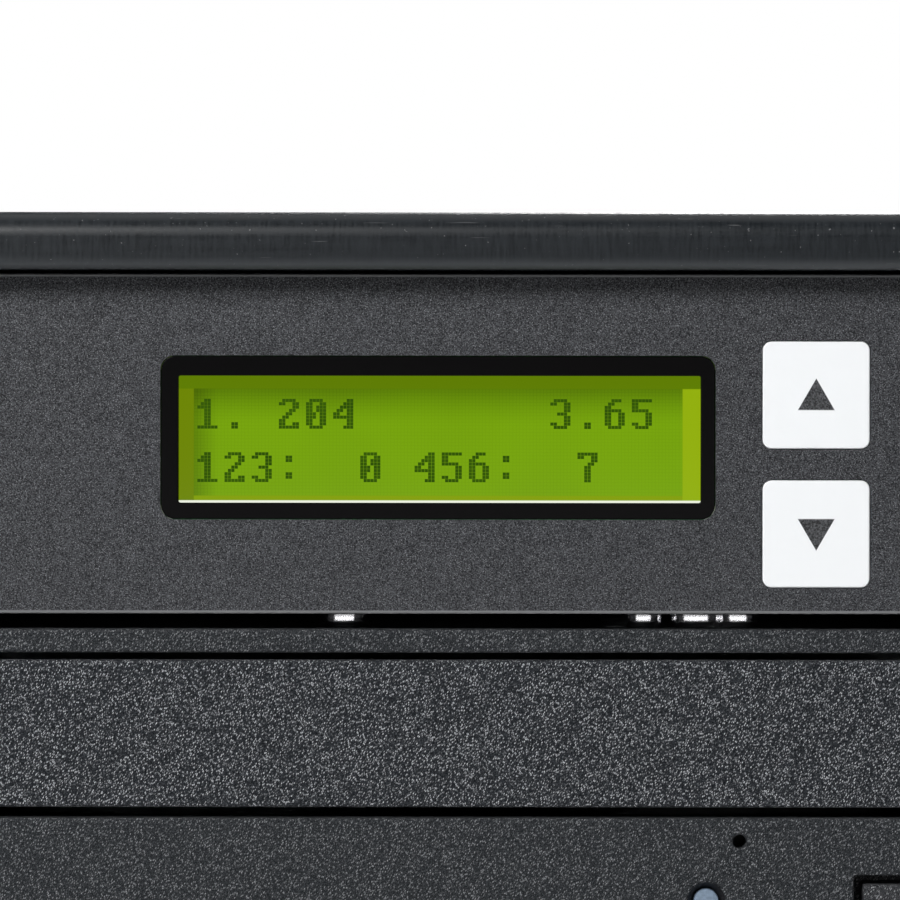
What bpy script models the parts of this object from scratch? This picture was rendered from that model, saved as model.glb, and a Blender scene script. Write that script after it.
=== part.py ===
# Disc duplicator tower: a steel case with five half-height bays, a controller on top and four disc drives
# below it. Lengths are in metres, +Z is up, the front faces -Y, and the origin is on the floor under the
# tower's middle.

import math

import bmesh
import bpy
from mathutils import Matrix, Vector, geometry

# The whole tower
CASE_DEPTH = 0.340
FOOT_HEIGHT = 0.008
GAP = 0.0003
OVERRUN = 0.002
SHEET = 0.001

# The column of bays, and the room round it
BAY_COUNT = 5
BAY_PITCH = 0.0439
DEVICE_WIDTH = 0.146
DEVICE_HEIGHT = 0.0413
BEZEL_OVERHANG = 0.00125
BEZEL_MARGIN = 0.00025
LIP_HEIGHT = 0.00685
LIP_CLEARANCE = 0.0006
FACE_RECESS = 0.0055
DEVICE_SHEET = 0.0008
SIDE_ROOM = 0.022
BASE_HEIGHT = 0.12715

# Front bezel
BEZEL_DEPTH = 0.015
BEZEL_WALL = 0.003
COLLAR_WALL = 0.0022
BAY_SIDE_CLEARANCE = 0.0008
EDGE_RADIUS = 0.003
EDGE_STEPS = 3
CORNER_RADIUS = 0.005
INNER_EDGE = 0.0006
FRONT_VENT_COUNT = 6
FRONT_VENT_WIDTH = 0.070
FRONT_VENT_HEIGHT = 0.0035
FRONT_VENT_PITCH = 0.0085
FRONT_VENT_BOTTOM = 0.024

# Power button, its switch and the power light
POWER_BUTTON_RADIUS = 0.0085
POWER_BUTTON_X = 0.052
POWER_BUTTON_DROP = 0.03515
POWER_BUTTON_INSET = 0.0004
POWER_BUTTON_FLANGE = 0.0012
POWER_FLANGE_THICKNESS = 0.0012
POWER_BUTTON_TRAVEL = 0.0025
POWER_STEM_RADIUS = 0.002
POWER_STEM_LENGTH = 0.0035
POWER_SWITCH_SIZE = 0.012
POWER_SWITCH_DEPTH = 0.011
POWER_BRACKET_MARGIN = 0.006
POWER_LIGHT_X = 0.030

# Lamp lenses, one size for the tower and the drives
LENS_RADIUS = 0.00155
LENS_LENGTH = 0.0075
LENS_DOME = 0.0006

# Outer cover
COVER_SHEET = 0.0008
COVER_INSET = 0.001
COVER_FLANGE = 0.012
COVER_FOOT_CLEARANCE = 0.001
SIDE_VENT_COUNT = 10
SIDE_VENT_LENGTH = 0.045
SIDE_VENT_HEIGHT = 0.004
SIDE_VENT_PITCH = 0.009
SIDE_VENT_Y = 0.110
SIDE_VENT_Z = 0.240
SIDE_VENT_LOW_Z = 0.060

# Chassis and rear panel
CHASSIS_FLANGE = 0.014
CAGE_DEPTH = 0.150
CAGE_FLANGE = 0.012
CAGE_HEADROOM = 0.0018

# Feet
FOOT_RADIUS = 0.010
FOOT_SOLE_RADIUS = 0.0085
FOOT_INSET_X = 0.022
FOOT_INSET_Y = 0.030
FOOT_PEG_RADIUS = 0.0025
FOOT_DISH_RADIUS = 0.0045
FOOT_DISH_DEPTH = 0.002

# Screws
SCREW_HEAD_RADIUS = 0.0034
SCREW_HEAD_HEIGHT = 0.0022
SCREW_SEAT = 0.0004
SCREW_SHANK_RADIUS = 0.0015
SCREW_SHANK_LENGTH = 0.005
SCREW_SIDES = 8
COVER_SCREW_ROWS = 3
COVER_SCREW_END = 0.030
DRIVE_SCREW_FIRST = 0.050
DRIVE_SCREW_SPACING = 0.0795
DRIVE_SCREW_RISE = 0.010

# Controller face
PANEL_OVERHANG = 0.0002
PLATE_THICKNESS = 0.0035
OVERLAY_THICKNESS = 0.0005
OVERLAY_MARGIN = 0.0003
OVERLAY_CORNER = 0.001
LCD_TO_KEYS = 0.0467
LCD_FRAME_WIDTH = 0.0684
LCD_FRAME_HEIGHT = 0.0201
LCD_FRAME_CORNER = 0.0017
LCD_FRAME_DROP = 0.0102
LCD_VIEW_WIDTH = 0.0645
LCD_VIEW_HEIGHT = 0.0157
LCD_VIEW_DROP = 0.0126
LCD_VIEW_SHIFT = 0.0002
LCD_FRAME_THICKNESS = 0.0012
LCD_GLASS_THICKNESS = 0.0028
LCD_GLASS_MARGIN = 0.0010
LCD_BODY_MARGIN = 0.004
KEY_SIDE = 0.01326
KEY_CORNER = 0.0011
KEY_COLUMN_INSET = 0.03005
KEY_COLUMN_PITCH = 0.0172
KEY_ROW_DROP = 0.01495
KEY_ROW_PITCH = 0.01715
KEY_FLANGE = 0.0008
KEY_FLANGE_THICKNESS = 0.001
KEY_STEM_RADIUS = 0.0016
KEY_STEM_LENGTH = 0.0018
KEY_TRAVEL = 0.0005
KEY_SWITCH_SIDE = 0.006
KEY_SWITCH_DEPTH = 0.0035
DISPLAY_BOARD_MARGIN = 0.003
BOARD_THICKNESS = 0.0016
POST_SIDE = 0.004
POST_TO_KEYS = 0.0162

# Controller tray and board
CONTROL_END_ROOM = 0.010
CONTROL_BOARD_INSET = 0.009
CONTROL_BOARD_DEPTH = 0.112
CONTROL_BOARD_START = 0.028
STANDOFF_RADIUS = 0.003
STANDOFF_HEIGHT = 0.005
STANDOFF_INSET = 0.008
CHIP_SIDE = 0.026
CHIP_HEIGHT = 0.003
MEMORY_WIDTH = 0.020
MEMORY_DEPTH = 0.010
PORT_WIDTH = 0.015
PORT_DEPTH = 0.008
PORT_HEIGHT = 0.007
PORT_COUNT = 4
PORT_PITCH = 0.0165
PORT_ROW_X = -0.016
POWER_PORT_WIDTH = 0.020
POWER_PORT_X = 0.034

# Drive bezel and its controls
DRIVE_BEZEL_THICKNESS = 0.006
DRIVE_BEZEL_EDGE = 0.0005
TRAY_OPENING_INSET = 0.00665
TRAY_OPENING_DROP = 0.0029
TRAY_OPENING_HEIGHT = 0.0204
TRAY_FRONT_TOP_GAP = 0.0009
TRAY_FRONT_SIDE_GAP = 0.0008
TRAY_FRONT_HEIGHT = 0.0182
TRAY_FRONT_THICKNESS = 0.0045
TRAY_FRONT_EDGE = 0.0004
EJECT_HOLE_RADIUS = 0.00083
EJECT_HOLE_INSET = 0.03945
EJECT_HOLE_DROP = 0.0262
LIGHT_INSET = 0.04355
LIGHT_DROP = 0.0336
LIGHT_RECESS_RADIUS = 0.00235
LIGHT_RECESS_DEPTH = 0.0006
EJECT_SLOT_INSET = 0.02535
EJECT_SLOT_DROP = 0.0305
EJECT_SLOT_WIDTH = 0.0155
EJECT_SLOT_HEIGHT = 0.0080
EJECT_BUTTON_GAP = 0.0010
EJECT_BUTTON_EDGE = 0.0004
EJECT_TRAVEL = 0.0008
EJECT_FLANGE = 0.0008
EJECT_FLANGE_THICKNESS = 0.0008
EJECT_SWITCH_SIDE = 0.006
EJECT_SWITCH_DEPTH = 0.004

# Drive case
DRIVE_DEPTH = 0.162
DECK_HEIGHT = 0.0125
DECK_THICKNESS = 0.0012
SLED_WINDOW_WIDTH = 0.052
SLED_WINDOW_START = 0.006
SLED_WINDOW_LENGTH = 0.074
ROD_RADIUS = 0.0015
ROD_SPACING = 0.040
DISC_CENTRE_DEPTH = 0.070
SPINDLE_PIN_RADIUS = 0.0015
SPINDLE_PIN_HEIGHT = 0.0035
SPINDLE_RADIUS = 0.0125
SPINDLE_THICKNESS = 0.0030
SPINDLE_HUB_RADIUS = 0.0072
SPINDLE_HUB_HEIGHT = 0.0024
DIMPLE_RADIUS = 0.0021
DIMPLE_HEIGHT = 0.0011
DIMPLE_SHOULDER_SHARES = (0.65, 0.75)
DIMPLE_DEPTH = 0.010
DIMPLE_PLACES = (-0.0144, 0.0198, 0.0235, 0.0301, 0.0353)
DRIVE_BOARD_INSET = 0.011
DRIVE_BOARD_DEPTH = 0.110
DRIVE_BOARD_END = 0.0015
DRIVE_BOARD_RISE = 0.002
DATA_PORT_X = -0.020
DATA_PORT_WIDTH = 0.014
DRIVE_POWER_X = 0.018
DRIVE_POWER_WIDTH = 0.024
DRIVE_PORT_HEIGHT = 0.006
DRIVE_PORT_DEPTH = 0.007

# Laser sled
SLED_WIDTH = 0.046
SLED_LENGTH = 0.022
SLED_THICKNESS = 0.005
SLED_START = 0.0245
LASER_LENS_RADIUS = 0.0035
LASER_LENS_HEIGHT = 0.0012

# Disc tray
TRAY_SIDE_ROOM = 0.008
TRAY_LENGTH = 0.146
TRAY_THICKNESS = 0.0075
TRAY_DROP = 0.0065
DISC_RADIUS = 0.0605
DISC_WELL_DEPTH = 0.0022
SMALL_DISC_RADIUS = 0.0405
SMALL_WELL_DEPTH = 0.0012
TRAY_WINDOW_WIDTH = 0.040
TRAY_WINDOW_FRONT = 0.020
TRAY_WINDOW_BACK = 0.058
RUNNER_WIDTH = 0.004
RUNNER_HEIGHT = 0.005
DISC_STEPS = 32

# Power supply
PSU_WIDTH = 0.150
PSU_HEIGHT = 0.086
PSU_DEPTH = 0.140
PSU_SHEET = 0.001
PSU_SCREW_INSET = 0.006
PSU_WINDOW_MARGIN = 0.003
PSU_CORNER_TAB = 0.012
PSU_BOARD_INSET = 0.006
PSU_BOARD_RISE = 0.005
TRANSFORMER_SIZE = 0.030
TRANSFORMER_HEIGHT = 0.028
CAPACITOR_RADIUS = 0.009
CAPACITOR_HEIGHT = 0.030
HEAT_SINK_LENGTH = 0.055
HEAT_SINK_HEIGHT = 0.036
HEAT_SINK_THICKNESS = 0.003
PSU_SLOT_COUNT = 9
PSU_SLOT_X = -0.030
PSU_SLOT_PITCH = 0.008
PSU_SLOT_WIDTH = 0.004
PSU_SLOT_HEIGHT = 0.050
HARNESS_HOLE_WIDTH = 0.020
HARNESS_HOLE_HEIGHT = 0.012
HARNESS_DROP = 0.0156

# Mains inlet with its rocker switch
INLET_X = 0.050
INLET_WIDTH = 0.030
INLET_HEIGHT = 0.0235
INLET_DEPTH = 0.021
INLET_RIM = 0.0012
INLET_RIM_THICKNESS = 0.0015
SOCKET_WIDTH = 0.0245
SOCKET_HEIGHT = 0.0165
SOCKET_DEPTH = 0.0175
SOCKET_CORNER = 0.004
PIN_LENGTH = 0.0115
PIN_WIDTH = 0.002
PIN_HEIGHT = 0.004
PIN_SPACING = 0.014
EARTH_PIN_RISE = 0.004
SWITCH_RISE = 0.026
SWITCH_HEIGHT = 0.015
ROCKER_WIDTH = 0.0168
ROCKER_HEIGHT = 0.0108
ROCKER_END_RISE = 0.002
ROCKER_MIDDLE_RISE = 0.0008
ROCKER_SHOULDER = 0.0008
ROCKER_BACK = 0.004
ROCKER_BACK_HALF = 0.003
ROCKER_PIVOT_DEPTH = 0.0021
ROCKER_PIN_LENGTH = 0.001
ROCKER_ANGLE = 9.0
ROCKER_PIN_RADIUS = 0.001
SWITCH_WELL_DEPTH = 0.0095

# Fans, one size
FAN_SIDE = 0.080
FAN_DEPTH = 0.025
FAN_CORNER = 0.004
FAN_BORE_RADIUS = 0.0375
FAN_HUB_RADIUS = 0.0155
FAN_BASE_THICKNESS = 0.003
FAN_STRUT_WIDTH = 0.005
FAN_STRUT_THICKNESS = 0.0022
FAN_SHAFT_RADIUS = 0.0015
FAN_SHAFT_LENGTH = 0.012
FAN_HOLE_SPACING = 0.0715
FAN_HOLE_RADIUS = 0.0021
ROTOR_DEPTH = 0.018
ROTOR_TIP_CLEARANCE = 0.0015
BLADE_COUNT = 7
BLADE_THICKNESS = 0.0016
BLADE_CHORD = 0.019
BLADE_PITCH = 52.0
GRILLE_RINGS = 4
GRILLE_BAR = 0.003
GRILLE_MARGIN = 0.001
GRILLE_SPOKES = 4
GRILLE_STEPS = 4
REAR_FAN_X = 0.0
REAR_FAN_Z = 0.175
PSU_FAN_X = -0.018

# Cables held inside the case
DATA_CABLE_RADIUS = 0.002
DATA_TRUNK_RADIUS = 0.0038
POWER_CABLE_RADIUS = 0.0022
POWER_TRUNK_RADIUS = 0.0032
PLUG_LENGTH = 0.010
CABLE_SPAN = 0.024
CABLE_BEND_POINTS = 9
RIBBON_WIDTH = 0.020
RIBBON_THICKNESS = 0.001
RIBBON_LAP = 0.006

# Vertices closer than this are one vertex
WELD = 0.000001

# Places and sizes that several pieces share
BEZEL_WIDTH = DEVICE_WIDTH + 2 * BEZEL_OVERHANG
BEZEL_HEIGHT = DEVICE_HEIGHT + 2 * BEZEL_MARGIN
PANEL_HEIGHT = BEZEL_HEIGHT + PANEL_OVERHANG
CASE_WIDTH = DEVICE_WIDTH + 2 * SIDE_ROOM
CASE_HEIGHT = BASE_HEIGHT + BEZEL_HEIGHT + (BAY_COUNT - 1) * BAY_PITCH + LIP_CLEARANCE + LIP_HEIGHT
CONTROL_BOARD_WIDTH = DEVICE_WIDTH - 2 * CONTROL_BOARD_INSET
CONTROL_DEPTH = CONTROL_BOARD_START + CONTROL_BOARD_DEPTH + CONTROL_END_ROOM
DRIVE_BOARD_WIDTH = DEVICE_WIDTH - 2 * DRIVE_BOARD_INSET
TRAY_WIDTH = DEVICE_WIDTH - 2 * TRAY_SIDE_ROOM
TRAY_OPENING_WIDTH = BEZEL_WIDTH - 2 * TRAY_OPENING_INSET
KEY_COLUMN = BEZEL_WIDTH / 2 - KEY_COLUMN_INSET
LCD_CENTRE_X = KEY_COLUMN - LCD_TO_KEYS
EJECT_HOLE_X = BEZEL_WIDTH / 2 - EJECT_HOLE_INSET
LIGHT_X = BEZEL_WIDTH / 2 - LIGHT_INSET
EJECT_SLOT_X = BEZEL_WIDTH / 2 - EJECT_SLOT_INSET
FRONT_Y = -CASE_DEPTH / 2
FACE_Y = FRONT_Y + FACE_RECESS
PANEL_TOP = CASE_HEIGHT - LIP_HEIGHT - LIP_CLEARANCE
BAY_BOTTOM = BASE_HEIGHT
POWER_BUTTON_Z = BAY_BOTTOM - POWER_BUTTON_DROP
DEVICE_RISE = BEZEL_MARGIN
DEVICE_FRONT = FACE_Y + DRIVE_BEZEL_THICKNESS + GAP
OPENING_SIDE = BEZEL_WIDTH / 2 + BAY_SIDE_CLEARANCE
OPENING_TOP = CASE_HEIGHT - LIP_HEIGHT
OPENING_BOTTOM = BAY_BOTTOM - LIP_CLEARANCE
BEZEL_BACK = FRONT_Y + BEZEL_DEPTH
PLATE_FRONT = BEZEL_BACK + GAP
PLATE_BACK = PLATE_FRONT + SHEET
COVER_REAR = CASE_DEPTH / 2 - SCREW_HEAD_HEIGHT
COVER_SIDE = CASE_WIDTH / 2 - COVER_INSET
COVER_TOP = CASE_HEIGHT - COVER_INSET
REAR_OUT = COVER_REAR - COVER_SHEET - GAP
REAR_IN = REAR_OUT - SHEET
CHASSIS_SIDE = COVER_SIDE - COVER_SHEET - GAP
CHASSIS_TOP = COVER_TOP - COVER_SHEET - GAP
CHASSIS_LOW = FOOT_HEIGHT + GAP
FLOOR_TOP = CHASSIS_LOW + SHEET
CAGE_SIDE = DEVICE_WIDTH / 2 + GAP
CAGE_FLOOR = BAY_BOTTOM + DEVICE_RISE - GAP
PSU_LOW = FLOOR_TOP + GAP
PSU_MIDDLE = PSU_LOW + PSU_HEIGHT / 2
PSU_BACK = REAR_IN - GAP
INLET_Z = PSU_MIDDLE - SWITCH_RISE / 2
HARNESS_Z = PSU_LOW + PSU_HEIGHT - HARNESS_DROP
SCREW_HOLE_RADIUS = SCREW_SHANK_RADIUS + GAP

AXES = {"X": Vector((1, 0, 0)), "Y": Vector((0, 1, 0)), "Z": Vector((0, 0, 1))}
TURNS = {
    "X": Matrix.Rotation(math.radians(90), 4, "Y"),
    "-X": Matrix.Rotation(math.radians(-90), 4, "Y"),
    "Y": Matrix.Rotation(math.radians(-90), 4, "X"),
    "-Y": Matrix.Rotation(math.radians(90), 4, "X"),
    "Z": Matrix.Identity(4),
}


def box(low, high):
    shape = bmesh.new()
    bmesh.ops.create_cube(shape, size=1)
    for vertex in shape.verts:
        vertex.co = [top if side > 0 else bottom for side, bottom, top in zip(vertex.co, low, high)]
    return shape


def prism(outline, axis, start, end):
    # An outline in the plane across the axis, pulled out along it. Its numbers are in X, Y, Z order.
    shape = bmesh.new()
    first = {"X": AXES["Y"], "Y": AXES["X"], "Z": AXES["X"]}[axis]
    second = {"X": AXES["Z"], "Y": AXES["Z"], "Z": AXES["Y"]}[axis]
    base = AXES[axis] * start
    corners = [shape.verts.new(base + first * across + second * up) for across, up in outline]
    face = shape.faces.new(corners)
    pulled = bmesh.ops.extrude_face_region(shape, geom=[face])["geom"]
    for item in pulled:
        if isinstance(item, bmesh.types.BMVert):
            item.co["XYZ".index(axis)] = end
    bmesh.ops.recalc_face_normals(shape, faces=shape.faces)
    return shape


def turned(profile, steps, axis="Z", at=(0, 0, 0)):
    # A profile of (radius, height) pairs that begins and ends on the axis, turned round it.
    shape = bmesh.new()
    points = [shape.verts.new((radius, 0, height)) for radius, height in profile]
    edges = [shape.edges.new(pair) for pair in zip(points, points[1:])]
    bmesh.ops.spin(
        shape,
        geom=points + edges,
        cent=(0, 0, 0),
        axis=(0, 0, 1),
        angle=math.tau,
        steps=steps,
        use_merge=True,
    )
    bmesh.ops.remove_doubles(shape, verts=shape.verts, dist=WELD)
    bmesh.ops.recalc_face_normals(shape, faces=shape.faces)
    bmesh.ops.transform(shape, matrix=Matrix.Translation(at) @ TURNS[axis], verts=shape.verts)
    return shape


def rod(radius, length, steps, axis="Z", at=(0, 0, 0)):
    return turned(((0, 0), (radius, 0), (radius, length), (0, length)), steps, axis, at)


def rounded(width, height, radius, steps, middle=(0, 0)):
    # A rectangle with round corners.
    points = []
    for number, (side_x, side_y) in enumerate(((1, 1), (-1, 1), (-1, -1), (1, -1))):
        for step in range(steps + 1):
            angle = math.pi / 2 * (number + step / steps)
            across = side_x * (width / 2 - radius) + radius * math.cos(angle)
            up = side_y * (height / 2 - radius) + radius * math.sin(angle)
            points.append((middle[0] + across, middle[1] + up))
    return points


def slot(width, height, steps, middle=(0, 0)):
    # A long hole with round ends, lying across.
    points = []
    for side, start in ((1, -math.pi / 2), (-1, math.pi / 2)):
        for step in range(steps + 1):
            angle = start + math.pi * step / steps
            across = side * (width - height) / 2 + height / 2 * math.cos(angle)
            points.append((middle[0] + across, middle[1] + height / 2 * math.sin(angle)))
    return points


def moved(shape, offset):
    bmesh.ops.translate(shape, verts=shape.verts, vec=offset)
    return shape


def mirrored(shape):
    # The same shape on the other side of the middle plane.
    copy = shape.copy()
    bmesh.ops.scale(copy, verts=copy.verts, vec=(-1, 1, 1))
    bmesh.ops.reverse_faces(copy, faces=copy.faces)
    return copy


def together(shapes):
    # Several bodies in one mesh, not joined.
    whole = bmesh.new()
    for shape in shapes:
        piece = bpy.data.meshes.new("piece")
        shape.to_mesh(piece)
        shape.free()
        whole.from_mesh(piece)
        bpy.data.meshes.remove(piece)
    return whole


def helper(name, shape):
    mesh = bpy.data.meshes.new(name)
    shape.to_mesh(mesh)
    shape.free()
    item = bpy.data.objects.new(name, mesh)
    bpy.context.scene.collection.objects.link(item)
    item.hide_render = True
    item.display_type = "WIRE"
    return item


def combined(base, tools, operation):
    # The base with each tool joined to it or cut from it.
    holder = helper("blank", base)
    helpers = [helper("tool", tool) for tool in tools]
    for item in helpers:
        modifier = holder.modifiers.new(operation.lower(), "BOOLEAN")
        modifier.operation = operation
        modifier.solver = "EXACT"
        modifier.object = item
    graph = bpy.context.evaluated_depsgraph_get()
    mesh = bpy.data.meshes.new_from_object(holder.evaluated_get(graph))
    shape = bmesh.new()
    shape.from_mesh(mesh)
    bmesh.ops.remove_doubles(shape, verts=shape.verts, dist=WELD)
    bpy.data.meshes.remove(mesh)
    for item in [holder, *helpers]:
        old = item.data
        bpy.data.objects.remove(item)
        bpy.data.meshes.remove(old)
    return shape


def cut(base, *tools):
    return combined(base, tools, "DIFFERENCE")


def fused(base, *others):
    return combined(base, others, "UNION")


def soften(shape, wanted, radius, steps):
    # Rounds the edges that the wanted test picks out.
    edges = [edge for edge in shape.edges if wanted(edge.verts[0].co) and wanted(edge.verts[1].co)]
    bmesh.ops.bevel(
        shape,
        geom=edges,
        offset=radius,
        offset_type="OFFSET",
        segments=steps,
        profile=0.5,
        affect="EDGES",
        material=-1,
    )
    return shape


def material(name, colour, roughness, metallic):
    made = bpy.data.materials.new(name)
    made.use_nodes = True
    shader = made.node_tree.nodes["Principled BSDF"]
    shader.inputs["Base Color"].default_value = (*colour, 1)
    shader.inputs["Roughness"].default_value = roughness
    shader.inputs["Metallic"].default_value = metallic
    return made


FINISHES = {
    "satin_black": ((0.022, 0.024, 0.027), 0.38, 0.0),
    "dark_plastic": ((0.045, 0.047, 0.052), 0.55, 0.0),
    "panel_film": ((0.055, 0.058, 0.064), 0.5, 0.1),
    "black_gloss": ((0.008, 0.008, 0.009), 0.2, 0.0),
    "white_key": ((0.85, 0.87, 0.88), 0.4, 0.0),
    "green_glass": ((0.19, 0.36, 0.006), 0.25, 0.0),
    "black_paint": ((0.02, 0.02, 0.022), 0.5, 0.3),
    "steel": ((0.55, 0.56, 0.57), 0.35, 0.9),
    "board": ((0.02, 0.16, 0.06), 0.5, 0.0),
    "rubber": ((0.015, 0.015, 0.015), 0.85, 0.0),
    "lens": ((0.2, 0.26, 0.32), 0.15, 0.0),
    "cable": ((0.35, 0.02, 0.02), 0.5, 0.0),
    "harness": ((0.02, 0.02, 0.02), 0.6, 0.0),
    "grey_plastic": ((0.12, 0.12, 0.13), 0.5, 0.0),
}


def node(name, shape, finish, at=(0, 0, 0), parent=None):
    mesh = bpy.data.meshes.new(name)
    shape.to_mesh(mesh)
    shape.free()
    mesh.materials.append(material(name, *FINISHES[finish]))
    mesh.shade_smooth()
    mesh.set_sharp_from_angle(angle=math.radians(30))
    return placed(name, mesh, at, parent)


def placed(name, mesh, at, parent):
    item = bpy.data.objects.new(name, mesh)
    bpy.context.scene.collection.objects.link(item)
    item.location = at
    item.parent = parent
    return item


def anchor(name, at):
    item = bpy.data.objects.new(name, None)
    bpy.context.scene.collection.objects.link(item)
    item.location = at
    return item


def corners(half):
    # The four corners of a square pattern.
    return [(x, z) for x in (-half, half) for z in (-half, half)]


def bay_top(number):
    # The height of a bay's bezel top; bay 0 holds the controller.
    return PANEL_TOP - number * BAY_PITCH


def drive_anchor_places():
    # The middle of each drive bezel's lower front edge.
    return [(0, FACE_Y, bay_top(number) - BEZEL_HEIGHT) for number in range(1, BAY_COUNT)]


def front_vents():
    shapes = []
    for number in range(FRONT_VENT_COUNT):
        middle = (0, FRONT_VENT_BOTTOM + number * FRONT_VENT_PITCH)
        outline = slot(FRONT_VENT_WIDTH, FRONT_VENT_HEIGHT, 2, middle)
        shapes.append(prism(outline, "Y", FRONT_Y - OVERRUN, BEZEL_BACK + OVERRUN))
    return together(shapes)


def front_bezel():
    height = CASE_HEIGHT - FOOT_HEIGHT
    middle = (0, FOOT_HEIGHT + height / 2)
    shell = prism(rounded(CASE_WIDTH, height, CORNER_RADIUS, 3, middle), "Y", FRONT_Y, BEZEL_BACK)
    soften(shell, lambda point: point.y < FRONT_Y + WELD, EDGE_RADIUS, EDGE_STEPS)
    opening = box(
        (-OPENING_SIDE, FRONT_Y - OVERRUN, OPENING_BOTTOM), (OPENING_SIDE, BEZEL_BACK + OVERRUN, OPENING_TOP)
    )
    shell = cut(shell, opening)

    def on_opening(point):
        inside = abs(point.x) < OPENING_SIDE + WELD and OPENING_BOTTOM - WELD < point.z < OPENING_TOP + WELD
        return inside and point.y < FRONT_Y + WELD

    soften(shell, on_opening, INNER_EDGE, 2)
    out = CASE_WIDTH / 2 - BEZEL_WALL
    collar = OPENING_SIDE + COLLAR_WALL
    low = FOOT_HEIGHT + BEZEL_WALL
    sill = OPENING_BOTTOM - COLLAR_WALL
    top = OPENING_TOP - COLLAR_WALL
    hollow = (
        (-out, low),
        (out, low),
        (out, top),
        (collar, top),
        (collar, sill),
        (-collar, sill),
        (-collar, top),
        (-out, top),
    )
    pocket = prism(hollow, "Y", FRONT_Y + BEZEL_WALL, BEZEL_BACK + OVERRUN)
    length = BEZEL_WALL + 2 * OVERRUN
    button_hole = rod(
        POWER_BUTTON_RADIUS + GAP, length, 20, "Y", (POWER_BUTTON_X, FRONT_Y - OVERRUN, POWER_BUTTON_Z)
    )
    light_hole = rod(LENS_RADIUS + GAP, length, 12, "Y", (POWER_LIGHT_X, FRONT_Y - OVERRUN, POWER_BUTTON_Z))
    return cut(shell, pocket, button_hole, light_hole, front_vents())


def lens():
    # Its front is at Y = 0 and it runs back along +Y.
    profile = (
        (0, 0),
        (LENS_RADIUS / 2, LENS_DOME / 4),
        (LENS_RADIUS, LENS_DOME),
        (LENS_RADIUS, LENS_LENGTH),
        (0, LENS_LENGTH),
    )
    return turned(profile, 12, "Y")


def power_button():
    # The middle of its face is the origin, and it runs back along +Y.
    neck = BEZEL_WALL + GAP - POWER_BUTTON_INSET
    back = neck + POWER_FLANGE_THICKNESS
    wide = POWER_BUTTON_RADIUS + POWER_BUTTON_FLANGE
    profile = (
        (0, 0),
        (POWER_BUTTON_RADIUS - INNER_EDGE, 0),
        (POWER_BUTTON_RADIUS, INNER_EDGE),
        (POWER_BUTTON_RADIUS, neck),
        (wide, neck),
        (wide, back),
        (POWER_STEM_RADIUS, back),
        (POWER_STEM_RADIUS, back + POWER_STEM_LENGTH),
        (0, back + POWER_STEM_LENGTH),
    )
    return turned(profile, 20, "Y")


def power_switch():
    stem_start = FRONT_Y + BEZEL_WALL + GAP + POWER_FLANGE_THICKNESS
    front = stem_start + POWER_BUTTON_TRAVEL + GAP
    bore = stem_start + POWER_STEM_LENGTH + POWER_BUTTON_TRAVEL + GAP - front
    half = POWER_SWITCH_SIZE / 2
    body = box(
        (POWER_BUTTON_X - half, front, POWER_BUTTON_Z - half),
        (POWER_BUTTON_X + half, front + POWER_SWITCH_DEPTH, POWER_BUTTON_Z + half),
    )
    wide = half + POWER_BRACKET_MARGIN
    collar = box(
        (POWER_BUTTON_X - wide, PLATE_FRONT - GAP - POWER_FLANGE_THICKNESS, POWER_BUTTON_Z - wide),
        (POWER_BUTTON_X + wide, PLATE_FRONT - GAP, POWER_BUTTON_Z + wide),
    )
    stem_hole = rod(
        POWER_STEM_RADIUS + GAP, bore + OVERRUN, 12, "Y", (POWER_BUTTON_X, front - OVERRUN, POWER_BUTTON_Z)
    )
    return cut(fused(body, collar), stem_hole)


def channel(half, low, top, wall):
    # The outline of a sheet folded up at both sides, as pairs of X and Z.
    inner = half - wall
    floor = low + wall
    return (
        (-half, low),
        (half, low),
        (half, top),
        (inner, top),
        (inner, floor),
        (-inner, floor),
        (-inner, top),
        (-half, top),
    )


def chassis_base():
    # Floor, side flanges and front plate, folded from one sheet.
    side = CHASSIS_SIDE
    fold = channel(side, CHASSIS_LOW, CHASSIS_LOW + CHASSIS_FLANGE, SHEET)
    floor = prism(fold, "Y", PLATE_FRONT, REAR_OUT)
    plate = box((-side, PLATE_FRONT, CHASSIS_LOW), (side, PLATE_BACK, CHASSIS_TOP))
    opening = box(
        (-CAGE_SIDE, PLATE_FRONT - OVERRUN, CAGE_FLOOR), (CAGE_SIDE, PLATE_BACK + OVERRUN, PANEL_TOP)
    )
    half = POWER_SWITCH_SIZE / 2 + GAP
    switch_hole = box(
        (POWER_BUTTON_X - half, PLATE_FRONT - OVERRUN, POWER_BUTTON_Z - half),
        (POWER_BUTTON_X + half, PLATE_BACK + OVERRUN, POWER_BUTTON_Z + half),
    )
    vent_height = (FRONT_VENT_COUNT - 1) * FRONT_VENT_PITCH + FRONT_VENT_HEIGHT
    vent_low = FRONT_VENT_BOTTOM - FRONT_VENT_HEIGHT / 2
    vent = box(
        (-FRONT_VENT_WIDTH / 2, PLATE_FRONT - OVERRUN, vent_low),
        (FRONT_VENT_WIDTH / 2, PLATE_BACK + OVERRUN, vent_low + vent_height),
    )
    pegs = [
        rod(FOOT_PEG_RADIUS + GAP, SHEET + 2 * OVERRUN, 8, "Z", (x, y, CHASSIS_LOW - OVERRUN))
        for x, y in foot_places()
    ]
    return cut(fused(floor, plate), opening, switch_hole, vent, *pegs)


def foot_places():
    across = CASE_WIDTH / 2 - FOOT_INSET_X
    along = CASE_DEPTH / 2 - FOOT_INSET_Y
    return [(x, y) for x in (-across, across) for y in (-along, along)]


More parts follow.
